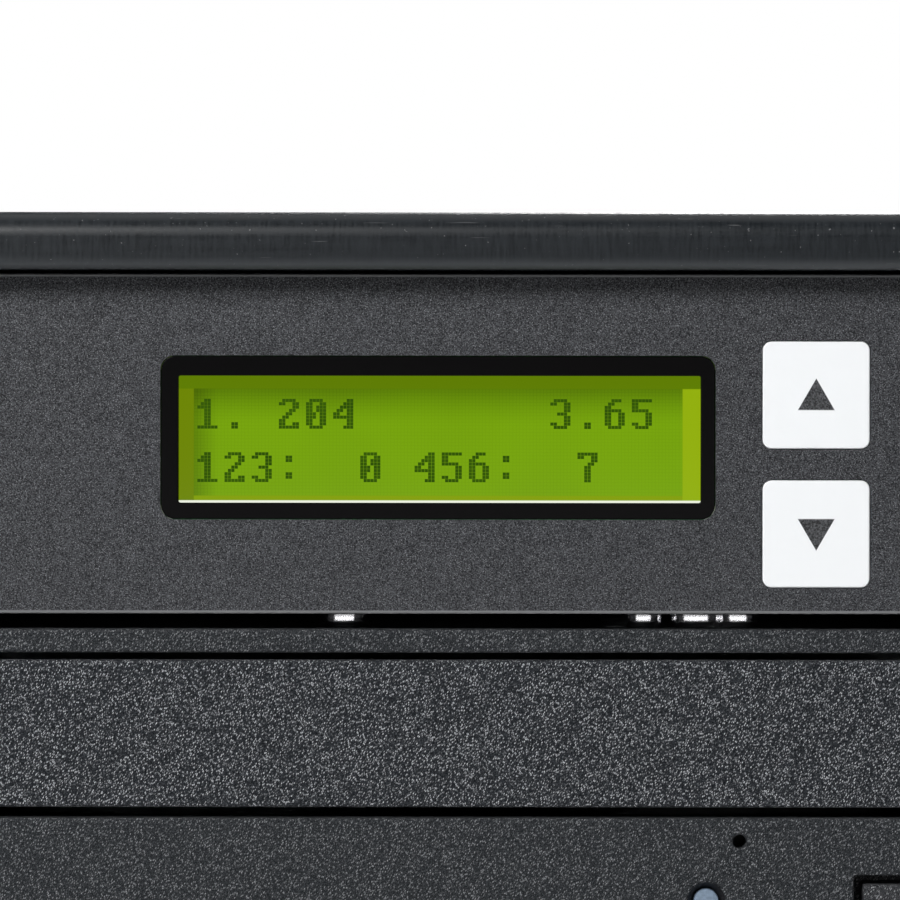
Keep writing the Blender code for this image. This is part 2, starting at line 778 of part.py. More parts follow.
def rubber_foot():
    # The origin is under its middle, on the floor.
    profile = (
        (0, FOOT_DISH_DEPTH),
        (FOOT_DISH_RADIUS, FOOT_DISH_DEPTH),
        (FOOT_DISH_RADIUS, 0),
        (FOOT_SOLE_RADIUS, 0),
        (FOOT_RADIUS, FOOT_HEIGHT),
        (FOOT_PEG_RADIUS, FOOT_HEIGHT),
        (FOOT_PEG_RADIUS, FLOOR_TOP),
        (0, FLOOR_TOP),
    )
    return turned(profile, 16)


def cover_screw_places():
    rise = (COVER_TOP - FOOT_HEIGHT - 2 * COVER_SCREW_END) / (COVER_SCREW_ROWS - 1)
    across = COVER_SIDE - COVER_FLANGE / 2
    rows = [FOOT_HEIGHT + COVER_SCREW_END + row * rise for row in range(COVER_SCREW_ROWS)]
    return [(x, z) for x in (-across, across) for z in rows]


def psu_screw_places():
    across = PSU_WIDTH / 2 - PSU_SCREW_INSET
    up = PSU_HEIGHT / 2 - PSU_SCREW_INSET
    return [(x, PSU_MIDDLE + z) for x in (-across, across) for z in (-up, up)]


def fan_screw_places():
    return [(REAR_FAN_X + x, REAR_FAN_Z + z) for x, z in corners(FAN_HOLE_SPACING / 2)]


def grille(x, z, start, end):
    # Rings of curved slots, as cutters along Y.
    shapes = []
    inner = FAN_HUB_RADIUS
    room = FAN_BORE_RADIUS - GRILLE_MARGIN - inner
    width = (room - GRILLE_BAR * (GRILLE_RINGS - 1)) / GRILLE_RINGS
    for ring in range(GRILLE_RINGS):
        near = inner + ring * (width + GRILLE_BAR)
        far = near + width
        for spoke in range(GRILLE_SPOKES):
            first = math.tau * (spoke + 0.5) / GRILLE_SPOKES
            last = first + math.tau / GRILLE_SPOKES
            outline = []
            for radius, steps in ((far, range(GRILLE_STEPS + 1)), (near, range(GRILLE_STEPS, -1, -1))):
                trim = GRILLE_BAR / 2 / radius
                for step in steps:
                    angle = first + trim + (last - first - 2 * trim) * step / GRILLE_STEPS
                    outline.append((x + radius * math.cos(angle), z + radius * math.sin(angle)))
            shapes.append(prism(outline, "Y", start, end))
    return together(shapes)


def screw_holes(places, start, end):
    return together([rod(SCREW_HOLE_RADIUS, end - start, SCREW_SIDES, "Y", (x, start, z)) for x, z in places])


def rear_panel():
    panel = box((-CHASSIS_SIDE, REAR_IN, FLOOR_TOP + GAP), (CHASSIS_SIDE, REAR_OUT, CHASSIS_TOP))
    panel = cut(panel, *rear_notches())
    wide = PSU_WIDTH / 2 - PSU_WINDOW_MARGIN
    high = PSU_HEIGHT / 2 - PSU_WINDOW_MARGIN
    step = PSU_CORNER_TAB
    outline = (
        (wide, -high + step),
        (wide, high - step),
        (wide - step, high - step),
        (wide - step, high),
        (-wide + step, high),
        (-wide + step, high - step),
        (-wide, high - step),
        (-wide, -high + step),
        (-wide + step, -high + step),
        (-wide + step, -high),
        (wide - step, -high),
        (wide - step, -high + step),
    )
    window = [(x, PSU_MIDDLE + z) for x, z in outline]
    start = REAR_IN - OVERRUN
    end = REAR_OUT + OVERRUN
    panel = cut(
        panel,
        prism(window, "Y", start, end),
        grille(REAR_FAN_X, REAR_FAN_Z, start, end),
        screw_holes(cover_screw_places(), start, end),
    )
    places = psu_screw_places() + fan_screw_places()
    return fused(panel, *[screw("-Y", (x, REAR_OUT, z)) for x, z in places])


def rear_notches():
    # The panel's lower corners clear the chassis side flanges.
    inner = CHASSIS_SIDE - SHEET - GAP
    lip = CHASSIS_LOW + CHASSIS_FLANGE + GAP
    right = box(
        (inner, REAR_IN - OVERRUN, FLOOR_TOP - OVERRUN), (CHASSIS_SIDE + OVERRUN, REAR_OUT + OVERRUN, lip)
    )
    return [mirrored(right), right]


def side_vents():
    # One side's slots; the other side mirrors them.
    shapes = []
    start = COVER_SIDE - COVER_SHEET - OVERRUN
    for group_z in (SIDE_VENT_Z, SIDE_VENT_LOW_Z):
        for number in range(SIDE_VENT_COUNT):
            middle = (SIDE_VENT_Y, group_z + (number - (SIDE_VENT_COUNT - 1) / 2) * SIDE_VENT_PITCH)
            outline = slot(SIDE_VENT_LENGTH, SIDE_VENT_HEIGHT, 2, middle)
            shapes.append(prism(outline, "X", start, COVER_SIDE + OVERRUN))
    return together(shapes)


def outer_cover():
    # Two sides and a top, with flanges folded in at the back.
    low = FOOT_HEIGHT + COVER_FOOT_CLEARANCE
    start = BEZEL_BACK + GAP
    out = COVER_SIDE
    inner = COVER_SIDE - COVER_SHEET
    roof = COVER_TOP - COVER_SHEET
    fold = (
        (-out, low),
        (-inner, low),
        (-inner, roof),
        (inner, roof),
        (inner, low),
        (out, low),
        (out, COVER_TOP),
        (-out, COVER_TOP),
    )
    shell = prism(fold, "Y", start, COVER_REAR - COVER_SHEET / 2)
    hem = inner - COVER_FLANGE
    top = COVER_TOP - COVER_FLANGE / 2
    rim = (
        (-out, low),
        (-hem, low),
        (-hem, top),
        (hem, top),
        (hem, low),
        (out, low),
        (out, COVER_TOP),
        (-out, COVER_TOP),
    )
    shell = fused(shell, prism(rim, "Y", COVER_REAR - COVER_SHEET, COVER_REAR))
    vents = side_vents()
    shell = cut(shell, mirrored(vents), vents)
    return fused(shell, *[screw("-Y", (x, COVER_REAR, z)) for x, z in cover_screw_places()])


def drive_screw_places():
    # Depth and height of the screws of every device.
    places = []
    for number in range(BAY_COUNT):
        low = bay_top(number) - BEZEL_HEIGHT + DEVICE_RISE
        for step in range(2):
            along = DEVICE_FRONT + DRIVE_SCREW_FIRST + step * DRIVE_SCREW_SPACING
            places.append((along, low + DRIVE_SCREW_RISE))
    return places


def drive_cage():
    out = CAGE_SIDE + SHEET
    top = CHASSIS_TOP - CAGE_HEADROOM
    start = PLATE_BACK + GAP
    end = start + CAGE_DEPTH
    walls = prism(channel(out, CAGE_FLOOR - SHEET, top, SHEET), "Y", start, end)
    ear = box((CAGE_SIDE + SHEET / 2, start, CAGE_FLOOR), (out + CAGE_FLANGE, start + SHEET, top - SHEET))
    screws = []
    for y, z in drive_screw_places():
        screws.append(screw("X", (-out, y, z)))
        screws.append(screw("-X", (out, y, z)))
    return fused(walls, mirrored(ear), ear, *screws)


def screw(axis, at):
    # The place is on the sheet under the head, and the shank runs along the axis. The head sinks a little
    # into that sheet, which it is one body with.
    profile = (
        (0, -SCREW_HEAD_HEIGHT),
        (SCREW_HEAD_RADIUS, -SCREW_HEAD_HEIGHT),
        (SCREW_HEAD_RADIUS, SCREW_SEAT),
        (SCREW_SHANK_RADIUS, SCREW_SEAT),
        (SCREW_SHANK_RADIUS, SCREW_SHANK_LENGTH),
        (0, SCREW_SHANK_LENGTH),
    )
    return turned(profile, SCREW_SIDES, axis, at)


def panel_middle():
    return PANEL_TOP - PANEL_HEIGHT / 2


def lcd_middle():
    return PANEL_TOP - LCD_FRAME_DROP - LCD_FRAME_HEIGHT / 2


def view_middle():
    return (LCD_CENTRE_X + LCD_VIEW_SHIFT, PANEL_TOP - LCD_VIEW_DROP - LCD_VIEW_HEIGHT / 2)


def key_places():
    names = (("key_up", 0, 0), ("key_down", 0, 1), ("key_enter", 1, 0), ("key_escape", 1, 1))
    places = {}
    for name, column, row in names:
        x = KEY_COLUMN + column * KEY_COLUMN_PITCH
        places[name] = (x, FACE_Y, PANEL_TOP - KEY_ROW_DROP - row * KEY_ROW_PITCH)
    return places


def face_cutters(start, end):
    # The display window and the four key holes, as cutters along Y.
    width = LCD_FRAME_WIDTH + 2 * GAP
    height = LCD_FRAME_HEIGHT + 2 * GAP
    frame = rounded(width, height, LCD_FRAME_CORNER + GAP, 2, (LCD_CENTRE_X, lcd_middle()))
    shapes = [prism(frame, "Y", start, end)]
    side = KEY_SIDE + 2 * GAP
    for x, _, z in key_places().values():
        shapes.append(prism(rounded(side, side, KEY_CORNER + GAP, 2, (x, z)), "Y", start, end))
    return together(shapes)


# The controller face in depth, from its front
PLATE_START = OVERLAY_THICKNESS + GAP
KEY_NECK = PLATE_START + PLATE_THICKNESS + GAP
KEY_BACK = KEY_NECK + KEY_FLANGE_THICKNESS
SWITCH_START = KEY_BACK + KEY_TRAVEL + GAP
DISPLAY_BOARD_START = SWITCH_START + KEY_SWITCH_DEPTH
DISPLAY_BOARD_SIDE = DEVICE_WIDTH / 2 - DEVICE_SHEET - DISPLAY_BOARD_MARGIN
HOUSING_FRONT = FACE_Y + KEY_NECK


def panel_overlay():
    width = BEZEL_WIDTH - 2 * OVERLAY_MARGIN
    height = PANEL_HEIGHT - 2 * OVERLAY_MARGIN
    outline = rounded(width, height, OVERLAY_CORNER, 2, (0, panel_middle()))
    film = prism(outline, "Y", FACE_Y, FACE_Y + OVERLAY_THICKNESS)
    return cut(film, face_cutters(FACE_Y - OVERRUN, FACE_Y + OVERLAY_THICKNESS + OVERRUN))


def control_faceplate():
    front = FACE_Y + PLATE_START
    back = front + PLATE_THICKNESS
    half = BEZEL_WIDTH / 2
    plate = box((-half, front, PANEL_TOP - PANEL_HEIGHT), (half, back, PANEL_TOP))
    soften(plate, lambda point: point.y < front + WELD, DRIVE_BEZEL_EDGE, 2)
    top = panel_middle() + PANEL_HEIGHT / 2 - DISPLAY_BOARD_MARGIN - POST_SIDE
    low = panel_middle() - PANEL_HEIGHT / 2 + DISPLAY_BOARD_MARGIN
    far = DISPLAY_BOARD_SIDE - POST_SIDE
    posts = []
    near_keys = KEY_COLUMN - POST_TO_KEYS
    for x, z in ((-DISPLAY_BOARD_SIDE, top), (far, top), (-DISPLAY_BOARD_SIDE, low), (near_keys, low)):
        end = FACE_Y + DISPLAY_BOARD_START - GAP
        posts.append(box((x, front + PLATE_THICKNESS / 2, z), (x + POST_SIDE, end, z + POST_SIDE)))
    return cut(fused(plate, *posts), face_cutters(front - OVERRUN, back + OVERRUN))


def lcd_frame():
    outline = rounded(LCD_FRAME_WIDTH, LCD_FRAME_HEIGHT, LCD_FRAME_CORNER, 3, (LCD_CENTRE_X, lcd_middle()))
    ring = prism(outline, "Y", FACE_Y, FACE_Y + LCD_FRAME_THICKNESS)
    x, z = view_middle()
    view = box(
        (x - LCD_VIEW_WIDTH / 2, FACE_Y - OVERRUN, z - LCD_VIEW_HEIGHT / 2),
        (x + LCD_VIEW_WIDTH / 2, FACE_Y + LCD_FRAME_THICKNESS + OVERRUN, z + LCD_VIEW_HEIGHT / 2),
    )
    return cut(ring, view)


def lcd_glass():
    x, z = view_middle()
    across = LCD_VIEW_WIDTH / 2 + LCD_GLASS_MARGIN
    up = LCD_VIEW_HEIGHT / 2 + LCD_GLASS_MARGIN
    front = FACE_Y + LCD_FRAME_THICKNESS + GAP
    return box((x - across, front, z - up), (x + across, front + LCD_GLASS_THICKNESS, z + up))


def display_board():
    start = FACE_Y + DISPLAY_BOARD_START
    up = PANEL_HEIGHT / 2 - DISPLAY_BOARD_MARGIN
    board = box(
        (-DISPLAY_BOARD_SIDE, start, panel_middle() - up),
        (DISPLAY_BOARD_SIDE, start + BOARD_THICKNESS, panel_middle() + up),
    )
    x, z = view_middle()
    across = LCD_VIEW_WIDTH / 2 + LCD_BODY_MARGIN
    tall = LCD_VIEW_HEIGHT / 2 + LCD_BODY_MARGIN
    glass_back = FACE_Y + LCD_FRAME_THICKNESS + GAP + LCD_GLASS_THICKNESS
    body = box((x - across, glass_back + GAP, z - tall), (x + across, start + BOARD_THICKNESS / 2, z + tall))
    half = KEY_SWITCH_SIDE / 2
    switches = []
    bores = []
    depth = KEY_BACK + KEY_STEM_LENGTH + KEY_TRAVEL + GAP - SWITCH_START
    for x, _, z in key_places().values():
        corner = (x + half, start + BOARD_THICKNESS / 2, z + half)
        switches.append(box((x - half, FACE_Y + SWITCH_START, z - half), corner))
        at = (x, FACE_Y + SWITCH_START - OVERRUN, z)
        bores.append(rod(KEY_STEM_RADIUS + GAP, depth + OVERRUN, 8, "Y", at))
    return cut(fused(board, body, ribbon(), *switches), *bores)


def key():
    # The middle of its face is the origin, and it runs back along +Y.
    wide = KEY_SIDE / 2 + KEY_FLANGE
    cap = prism(rounded(KEY_SIDE, KEY_SIDE, KEY_CORNER, 3), "Y", 0, KEY_BACK)
    flange = box((-wide, KEY_NECK, -wide), (wide, KEY_BACK, wide))
    stem = rod(KEY_STEM_RADIUS, KEY_STEM_LENGTH + KEY_FLANGE_THICKNESS, 8, "Y", (0, KEY_NECK, 0))
    return fused(cap, flange, stem)


def control_housing():
    # A tray that is open at the top, at the front behind the face and at the back.
    half = DEVICE_WIDTH / 2
    low = PANEL_TOP - PANEL_HEIGHT + DEVICE_RISE
    floor = low + DEVICE_SHEET
    fold = channel(half, low, low + DEVICE_HEIGHT, DEVICE_SHEET)
    tray = prism(fold, "Y", HOUSING_FRONT, HOUSING_FRONT + CONTROL_DEPTH)
    posts = []
    across = CONTROL_BOARD_WIDTH / 2 - STANDOFF_INSET
    first = HOUSING_FRONT + CONTROL_BOARD_START
    for x in (-across, across):
        for y in (first + STANDOFF_INSET, first + CONTROL_BOARD_DEPTH - STANDOFF_INSET):
            at = (x, y, floor - DEVICE_SHEET / 2)
            posts.append(rod(STANDOFF_RADIUS, STANDOFF_HEIGHT + DEVICE_SHEET / 2, 8, "Z", at))
    holes = [
        rod(SCREW_HOLE_RADIUS, DEVICE_WIDTH + 2 * OVERRUN, SCREW_SIDES, "X", (-half - OVERRUN, y, z))
        for y, z in drive_screw_places()[:2]
    ]
    return cut(fused(tray, *posts), *holes)


def control_board_low():
    return PANEL_TOP - PANEL_HEIGHT + DEVICE_RISE + DEVICE_SHEET + STANDOFF_HEIGHT + GAP


def on_board(x, y, width, depth, height, board_low):
    # A component standing on a board, from the middle of the board's thickness up.
    low = (x - width / 2, y - depth / 2, board_low + BOARD_THICKNESS / 2)
    return box(low, (x + width / 2, y + depth / 2, board_low + BOARD_THICKNESS + height))


def data_port_places():
    # The controller's data ports, one for each drive.
    end = HOUSING_FRONT + CONTROL_BOARD_START + CONTROL_BOARD_DEPTH
    return [(PORT_ROW_X + (number - (PORT_COUNT - 1) / 2) * PORT_PITCH, end) for number in range(PORT_COUNT)]


def control_board():
    low = control_board_low()
    start = HOUSING_FRONT + CONTROL_BOARD_START
    end = start + CONTROL_BOARD_DEPTH
    half = CONTROL_BOARD_WIDTH / 2
    board = box((-half, start, low), (half, end, low + BOARD_THICKNESS))
    middle = start + CONTROL_BOARD_DEPTH / 2
    parts = [on_board(0, middle, CHIP_SIDE, CHIP_SIDE, CHIP_HEIGHT, low)]
    for side in (-1, 1):
        x = side * (CHIP_SIDE + MEMORY_WIDTH) * 3 / 4
        parts.append(on_board(x, middle, MEMORY_WIDTH, MEMORY_DEPTH, CHIP_HEIGHT / 2, low))
    for x, y in data_port_places():
        parts.append(on_board(x, y - PORT_DEPTH / 2, PORT_WIDTH, PORT_DEPTH, PORT_HEIGHT, low))
    parts.append(on_board(POWER_PORT_X, end - PORT_DEPTH / 2, POWER_PORT_WIDTH, PORT_DEPTH, PORT_HEIGHT, low))
    return fused(board, *parts)


# A drive in height, from its bezel's lower edge
TRAY_FRONT_TOP = BEZEL_HEIGHT - TRAY_OPENING_DROP - TRAY_FRONT_TOP_GAP
TRAY_TOP = TRAY_FRONT_TOP - TRAY_DROP
TRAY_LOW = TRAY_TOP - TRAY_THICKNESS
CASE_FRONT = DRIVE_BEZEL_THICKNESS + GAP
CASE_BACK = CASE_FRONT + DRIVE_DEPTH
DECK_LOW = DEVICE_RISE + DECK_HEIGHT
DECK_MIDDLE = DECK_LOW + DECK_THICKNESS / 2
DECK_TOP = DECK_LOW + DECK_THICKNESS
DRIVE_BOARD_LOW = DEVICE_RISE + DEVICE_SHEET + DRIVE_BOARD_RISE


def eject_slot():
    # Left, right, lower and upper limits of the button's slot.
    top = BEZEL_HEIGHT - EJECT_SLOT_DROP
    return EJECT_SLOT_X, EJECT_SLOT_X + EJECT_SLOT_WIDTH, top - EJECT_SLOT_HEIGHT, top


def eject_place():
    left, right, low, top = eject_slot()
    return ((left + right) / 2, 0, (low + top) / 2)


def drive_bezel():
    half = BEZEL_WIDTH / 2
    face = box((-half, 0, 0), (half, DRIVE_BEZEL_THICKNESS, BEZEL_HEIGHT))
    soften(face, lambda point: point.y < WELD, DRIVE_BEZEL_EDGE, 2)
    end = DRIVE_BEZEL_THICKNESS + OVERRUN
    top = BEZEL_HEIGHT - TRAY_OPENING_DROP
    across = TRAY_OPENING_WIDTH / 2
    mouth = box((-across, -OVERRUN, top - TRAY_OPENING_HEIGHT), (across, end, top))
    left, right, low, high = eject_slot()
    button_slot = box((left, -OVERRUN, low), (right, end, high))
    light_z = BEZEL_HEIGHT - LIGHT_DROP
    length = end + OVERRUN
    pin_place = (EJECT_HOLE_X, -OVERRUN, BEZEL_HEIGHT - EJECT_HOLE_DROP)
    pin_hole = rod(EJECT_HOLE_RADIUS, length, 8, "Y", pin_place)
    recess = rod(LIGHT_RECESS_RADIUS, LIGHT_RECESS_DEPTH + OVERRUN, 16, "Y", (LIGHT_X, -OVERRUN, light_z))
    return fused(cut(face, mouth, button_slot, pin_hole, recess), moved(lens(), (LIGHT_X, 0, light_z)))


def drive_ports(grow):
    # The data and power sockets at the back of a drive, larger all round by the grow value.
    low = DRIVE_BOARD_LOW + BOARD_THICKNESS / 2
    high = low + DRIVE_PORT_HEIGHT
    ports = []
    for x, width in ((DATA_PORT_X, DATA_PORT_WIDTH), (DRIVE_POWER_X, DRIVE_POWER_WIDTH)):
        left = x - width / 2 - grow
        right = x + width / 2 + grow
        corner = (right, CASE_BACK + grow, high + grow)
        ports.append(box((left, CASE_BACK - DRIVE_PORT_DEPTH, low - grow), corner))
    return ports


def drive_case():
    half = DEVICE_WIDTH / 2
    wall = DEVICE_SHEET
    low = DEVICE_RISE
    top = low + DEVICE_HEIGHT
    outer = box((-half, CASE_FRONT, low), (half, CASE_BACK, top))
    room = box((-half + wall, CASE_FRONT - OVERRUN, low + wall), (half - wall, CASE_BACK - wall, top - wall))
    shell = cut(outer, room)
    inside = half - wall / 2
    deck = box((-inside, CASE_FRONT, DECK_LOW), (inside, CASE_BACK - wall / 2, DECK_TOP))
    window_start = DISC_CENTRE_DEPTH + SLED_WINDOW_START
    window_end = window_start + SLED_WINDOW_LENGTH
    window = box(
        (-SLED_WINDOW_WIDTH / 2, window_start, DECK_LOW - OVERRUN),
        (SLED_WINDOW_WIDTH / 2, window_end, DECK_TOP + OVERRUN),
    )
    deck = cut(deck, window)
    additions = [deck]
    rod_length = SLED_WINDOW_LENGTH + 2 * ROD_RADIUS
    for x in (-ROD_SPACING / 2, ROD_SPACING / 2):
        additions.append(rod(ROD_RADIUS, rod_length, 8, "Y", (x, window_start - ROD_RADIUS, DECK_MIDDLE)))
    pin_length = SPINDLE_PIN_HEIGHT + DECK_THICKNESS / 2
    additions.append(rod(SPINDLE_PIN_RADIUS, pin_length, 8, "Z", (0, DISC_CENTRE_DEPTH, DECK_MIDDLE)))
    runner = box(
        (TRAY_WIDTH / 2 - RUNNER_WIDTH, CASE_FRONT, TRAY_LOW - GAP - RUNNER_HEIGHT),
        (inside, CASE_FRONT + TRAY_LENGTH, TRAY_LOW - GAP),
    )
    x, _, z = eject_place()
    half_switch = EJECT_SWITCH_SIDE / 2
    switch_front = CASE_FRONT + EJECT_FLANGE_THICKNESS + EJECT_TRAVEL + GAP
    switch = box(
        (x - half_switch, switch_front, z - half_switch),
        (x + half_switch, switch_front + EJECT_SWITCH_DEPTH, DECK_MIDDLE),
    )
    additions += [mirrored(runner), runner, switch]
    profile = (
        (0, -wall / 2),
        (DIMPLE_RADIUS, -wall / 2),
        (DIMPLE_RADIUS, 0),
        (DIMPLE_RADIUS * DIMPLE_SHOULDER_SHARES[0], DIMPLE_HEIGHT * DIMPLE_SHOULDER_SHARES[1]),
        (0, DIMPLE_HEIGHT),
    )
    for x in DIMPLE_PLACES:
        additions.append(turned(profile, 8, "Z", (x, CASE_FRONT + DIMPLE_DEPTH, top)))
    cutters = drive_ports(GAP)
    for step in range(2):
        y = CASE_FRONT + DRIVE_SCREW_FIRST + step * DRIVE_SCREW_SPACING
        at = (-half - OVERRUN, y, low + DRIVE_SCREW_RISE)
        cutters.append(rod(SCREW_HOLE_RADIUS, DEVICE_WIDTH + 2 * OVERRUN, SCREW_SIDES, "X", at))
    return fused(cut(fused(shell, *additions), *cutters), drive_board())


def drive_board():
    # The board stands on four pads on the case's floor, which it is one body with.
    end = CASE_BACK - DEVICE_SHEET - DRIVE_BOARD_END
    start = end - DRIVE_BOARD_DEPTH
    half = DRIVE_BOARD_WIDTH / 2
    low = DRIVE_BOARD_LOW
    board = box((-half, start, low), (half, end, low + BOARD_THICKNESS))
    floor = DEVICE_RISE + DEVICE_SHEET / 2
    pads = []
    for x in (-half, half - POST_SIDE):
        for y in (start, end - POST_SIDE):
            pads.append(box((x, y, floor), (x + POST_SIDE, y + POST_SIDE, low + BOARD_THICKNESS / 2)))
    return fused(board, *pads, *drive_ports(0))


def spindle():
    # The turntable under the disc, standing on its pin; the origin is on its axis at the deck.
    top = GAP + SPINDLE_THICKNESS
    profile = (
        (0, SPINDLE_PIN_HEIGHT + GAP),
        (SPINDLE_PIN_RADIUS + GAP, SPINDLE_PIN_HEIGHT + GAP),
        (SPINDLE_PIN_RADIUS + GAP, GAP),
        (SPINDLE_RADIUS, GAP),
        (SPINDLE_RADIUS, top),
        (SPINDLE_HUB_RADIUS, top),
        (SPINDLE_HUB_RADIUS - SPINDLE_HUB_HEIGHT / 2, top + SPINDLE_HUB_HEIGHT),
        (0, top + SPINDLE_HUB_HEIGHT),
    )
    return turned(profile, 12)


def laser_sled():
    # The origin is midway between its guide rods.
    sides = (SLED_WIDTH / 2, SLED_LENGTH / 2, SLED_THICKNESS / 2)
    body = box([-side for side in sides], sides)
    lens_cap = rod(LASER_LENS_RADIUS, SLED_THICKNESS / 2 + LASER_LENS_HEIGHT, 8)
    holes = [
        rod(ROD_RADIUS + GAP, SLED_LENGTH + 2 * OVERRUN, 8, "Y", (x, -SLED_LENGTH / 2 - OVERRUN, 0))
        for x in (-ROD_SPACING / 2, ROD_SPACING / 2)
    ]
    return cut(fused(body, lens_cap), *holes)


def disc_tray():
    start = TRAY_FRONT_THICKNESS + GAP
    half = TRAY_WIDTH / 2
    body = box((-half, start, TRAY_LOW), (half, start + TRAY_LENGTH, TRAY_TOP))
    centre = (0, DISC_CENTRE_DEPTH, TRAY_TOP - DISC_WELL_DEPTH)
    well = rod(DISC_RADIUS, DISC_WELL_DEPTH + OVERRUN, DISC_STEPS, "Z", centre)
    lower = (0, DISC_CENTRE_DEPTH, TRAY_TOP - DISC_WELL_DEPTH - SMALL_WELL_DEPTH)
    small_well = rod(SMALL_DISC_RADIUS, SMALL_WELL_DEPTH + DISC_WELL_DEPTH, DISC_STEPS, "Z", lower)
    window = box(
        (-TRAY_WINDOW_WIDTH / 2, DISC_CENTRE_DEPTH - TRAY_WINDOW_FRONT, TRAY_LOW - OVERRUN),
        (TRAY_WINDOW_WIDTH / 2, DISC_CENTRE_DEPTH + TRAY_WINDOW_BACK, TRAY_TOP + OVERRUN),
    )
    return cut(body, well, small_well, window)


def tray_front():
    half = TRAY_OPENING_WIDTH / 2 - TRAY_FRONT_SIDE_GAP
    front = box((-half, 0, TRAY_FRONT_TOP - TRAY_FRONT_HEIGHT), (half, TRAY_FRONT_THICKNESS, TRAY_FRONT_TOP))
    return soften(front, lambda point: point.y < WELD, TRAY_FRONT_EDGE, 2)


def eject_button():
    # The middle of its face is the origin, and it runs back along +Y.
    half_width = EJECT_SLOT_WIDTH / 2
    half_height = EJECT_SLOT_HEIGHT / 2
    across = half_width - EJECT_BUTTON_GAP
    up = half_height - EJECT_BUTTON_GAP
    cap = box((-across, 0, -up), (across, CASE_FRONT + EJECT_FLANGE_THICKNESS, up))
    soften(cap, lambda point: point.y < WELD, EJECT_BUTTON_EDGE, 2)
    wide = half_width + EJECT_FLANGE
    tall = half_height + EJECT_FLANGE
    flange = box((-wide, CASE_FRONT, -tall), (wide, CASE_FRONT + EJECT_FLANGE_THICKNESS, tall))
    return fused(cap, flange)


def inlet_opening(grow):
    # The block behind the inlet's rim, larger all round by the grow value, as its limits in X and Z.
    half = INLET_WIDTH / 2 + grow
    low = INLET_Z - INLET_HEIGHT / 2 - grow
    high = INLET_Z + SWITCH_RISE + SWITCH_HEIGHT / 2 + grow
    return INLET_X - half, INLET_X + half, low, high


def psu_fan_screw_places():
    return [(PSU_FAN_X + x, PSU_MIDDLE + z) for x, z in corners(FAN_HOLE_SPACING / 2)]


def psu_case():
    half = PSU_WIDTH / 2
    front = PSU_BACK - PSU_DEPTH
    high = PSU_LOW + PSU_HEIGHT
    wall = PSU_SHEET
    outer = box((-half, front, PSU_LOW), (half, PSU_BACK, high))
    room = box((-half + wall, front + wall, PSU_LOW + wall), (half - wall, PSU_BACK - wall, high - wall))
    rear_start = PSU_BACK - wall - OVERRUN
    rear_end = PSU_BACK + OVERRUN
    left, right, low, top = inlet_opening(GAP)
    inlet_hole = box((left, rear_start, low), (right, rear_end, top))
    slots = []
    for number in range(PSU_SLOT_COUNT):
        x = PSU_SLOT_X + (number - (PSU_SLOT_COUNT - 1) / 2) * PSU_SLOT_PITCH
        slots.append(
            box(
                (x - PSU_SLOT_WIDTH / 2, front - OVERRUN, PSU_MIDDLE - PSU_SLOT_HEIGHT / 2),
                (x + PSU_SLOT_WIDTH / 2, front + wall + OVERRUN, PSU_MIDDLE + PSU_SLOT_HEIGHT / 2),
            )
        )
    harness_hole = box(
        (DRIVE_POWER_X - HARNESS_HOLE_WIDTH / 2, front - OVERRUN, HARNESS_Z - HARNESS_HOLE_HEIGHT / 2),
        (DRIVE_POWER_X + HARNESS_HOLE_WIDTH / 2, front + wall + OVERRUN, HARNESS_Z + HARNESS_HOLE_HEIGHT / 2),
    )
    shell = cut(
        outer,
        room,
        inlet_hole,
        together(slots),
        harness_hole,
        grille(PSU_FAN_X, PSU_MIDDLE, rear_start, rear_end),
        screw_holes(psu_screw_places(), rear_start, rear_end),
    )
    # The frame of the supply's own fan sinks into the sheet and is one body with it.
    frame = moved(fan_frame(), psu_fan_place())
    screws = [screw("-Y", (x, PSU_BACK, z)) for x, z in psu_fan_screw_places()]
    return fused(shell, frame, *screws)


def psu_board():
    low = PSU_LOW + PSU_SHEET + PSU_BOARD_RISE
    start = PSU_BACK - PSU_DEPTH + PSU_SHEET + PSU_BOARD_INSET
    end = PSU_BACK - PSU_SHEET - FAN_DEPTH - PSU_BOARD_INSET
    half = PSU_WIDTH / 2 - PSU_SHEET - PSU_BOARD_INSET
    board = box((-half, start, low), (half, end, low + BOARD_THICKNESS))
    middle = (start + end) / 2
    parts = [on_board(0, middle, TRANSFORMER_SIZE, TRANSFORMER_SIZE, TRANSFORMER_HEIGHT, low)]
    for side in (-1, 1):
        x = side * half / 2
        parts.append(on_board(x, middle, HEAT_SINK_THICKNESS, HEAT_SINK_LENGTH, HEAT_SINK_HEIGHT, low))
    for y in (middle - 3 * CAPACITOR_RADIUS / 2, middle + 3 * CAPACITOR_RADIUS / 2):
        x = half - 2 * CAPACITOR_RADIUS
        parts.append(rod(CAPACITOR_RADIUS, CAPACITOR_HEIGHT, 12, "Z", (x, y, low + BOARD_THICKNESS / 2)))
    floor = PSU_LOW + PSU_SHEET + GAP
    for x in (-half, half - POST_SIDE):
        for y in (start, end - POST_SIDE):
            parts.append(box((x, y, floor), (x + POST_SIDE, y + POST_SIDE, low + BOARD_THICKNESS / 2)))
    return fused(board, *parts)


RIM_FRONT = PSU_BACK + GAP
RIM_FACE = RIM_FRONT + INLET_RIM_THICKNESS
ROCKER_Z = INLET_Z + SWITCH_RISE
ROCKER_Y = RIM_FACE - ROCKER_PIVOT_DEPTH


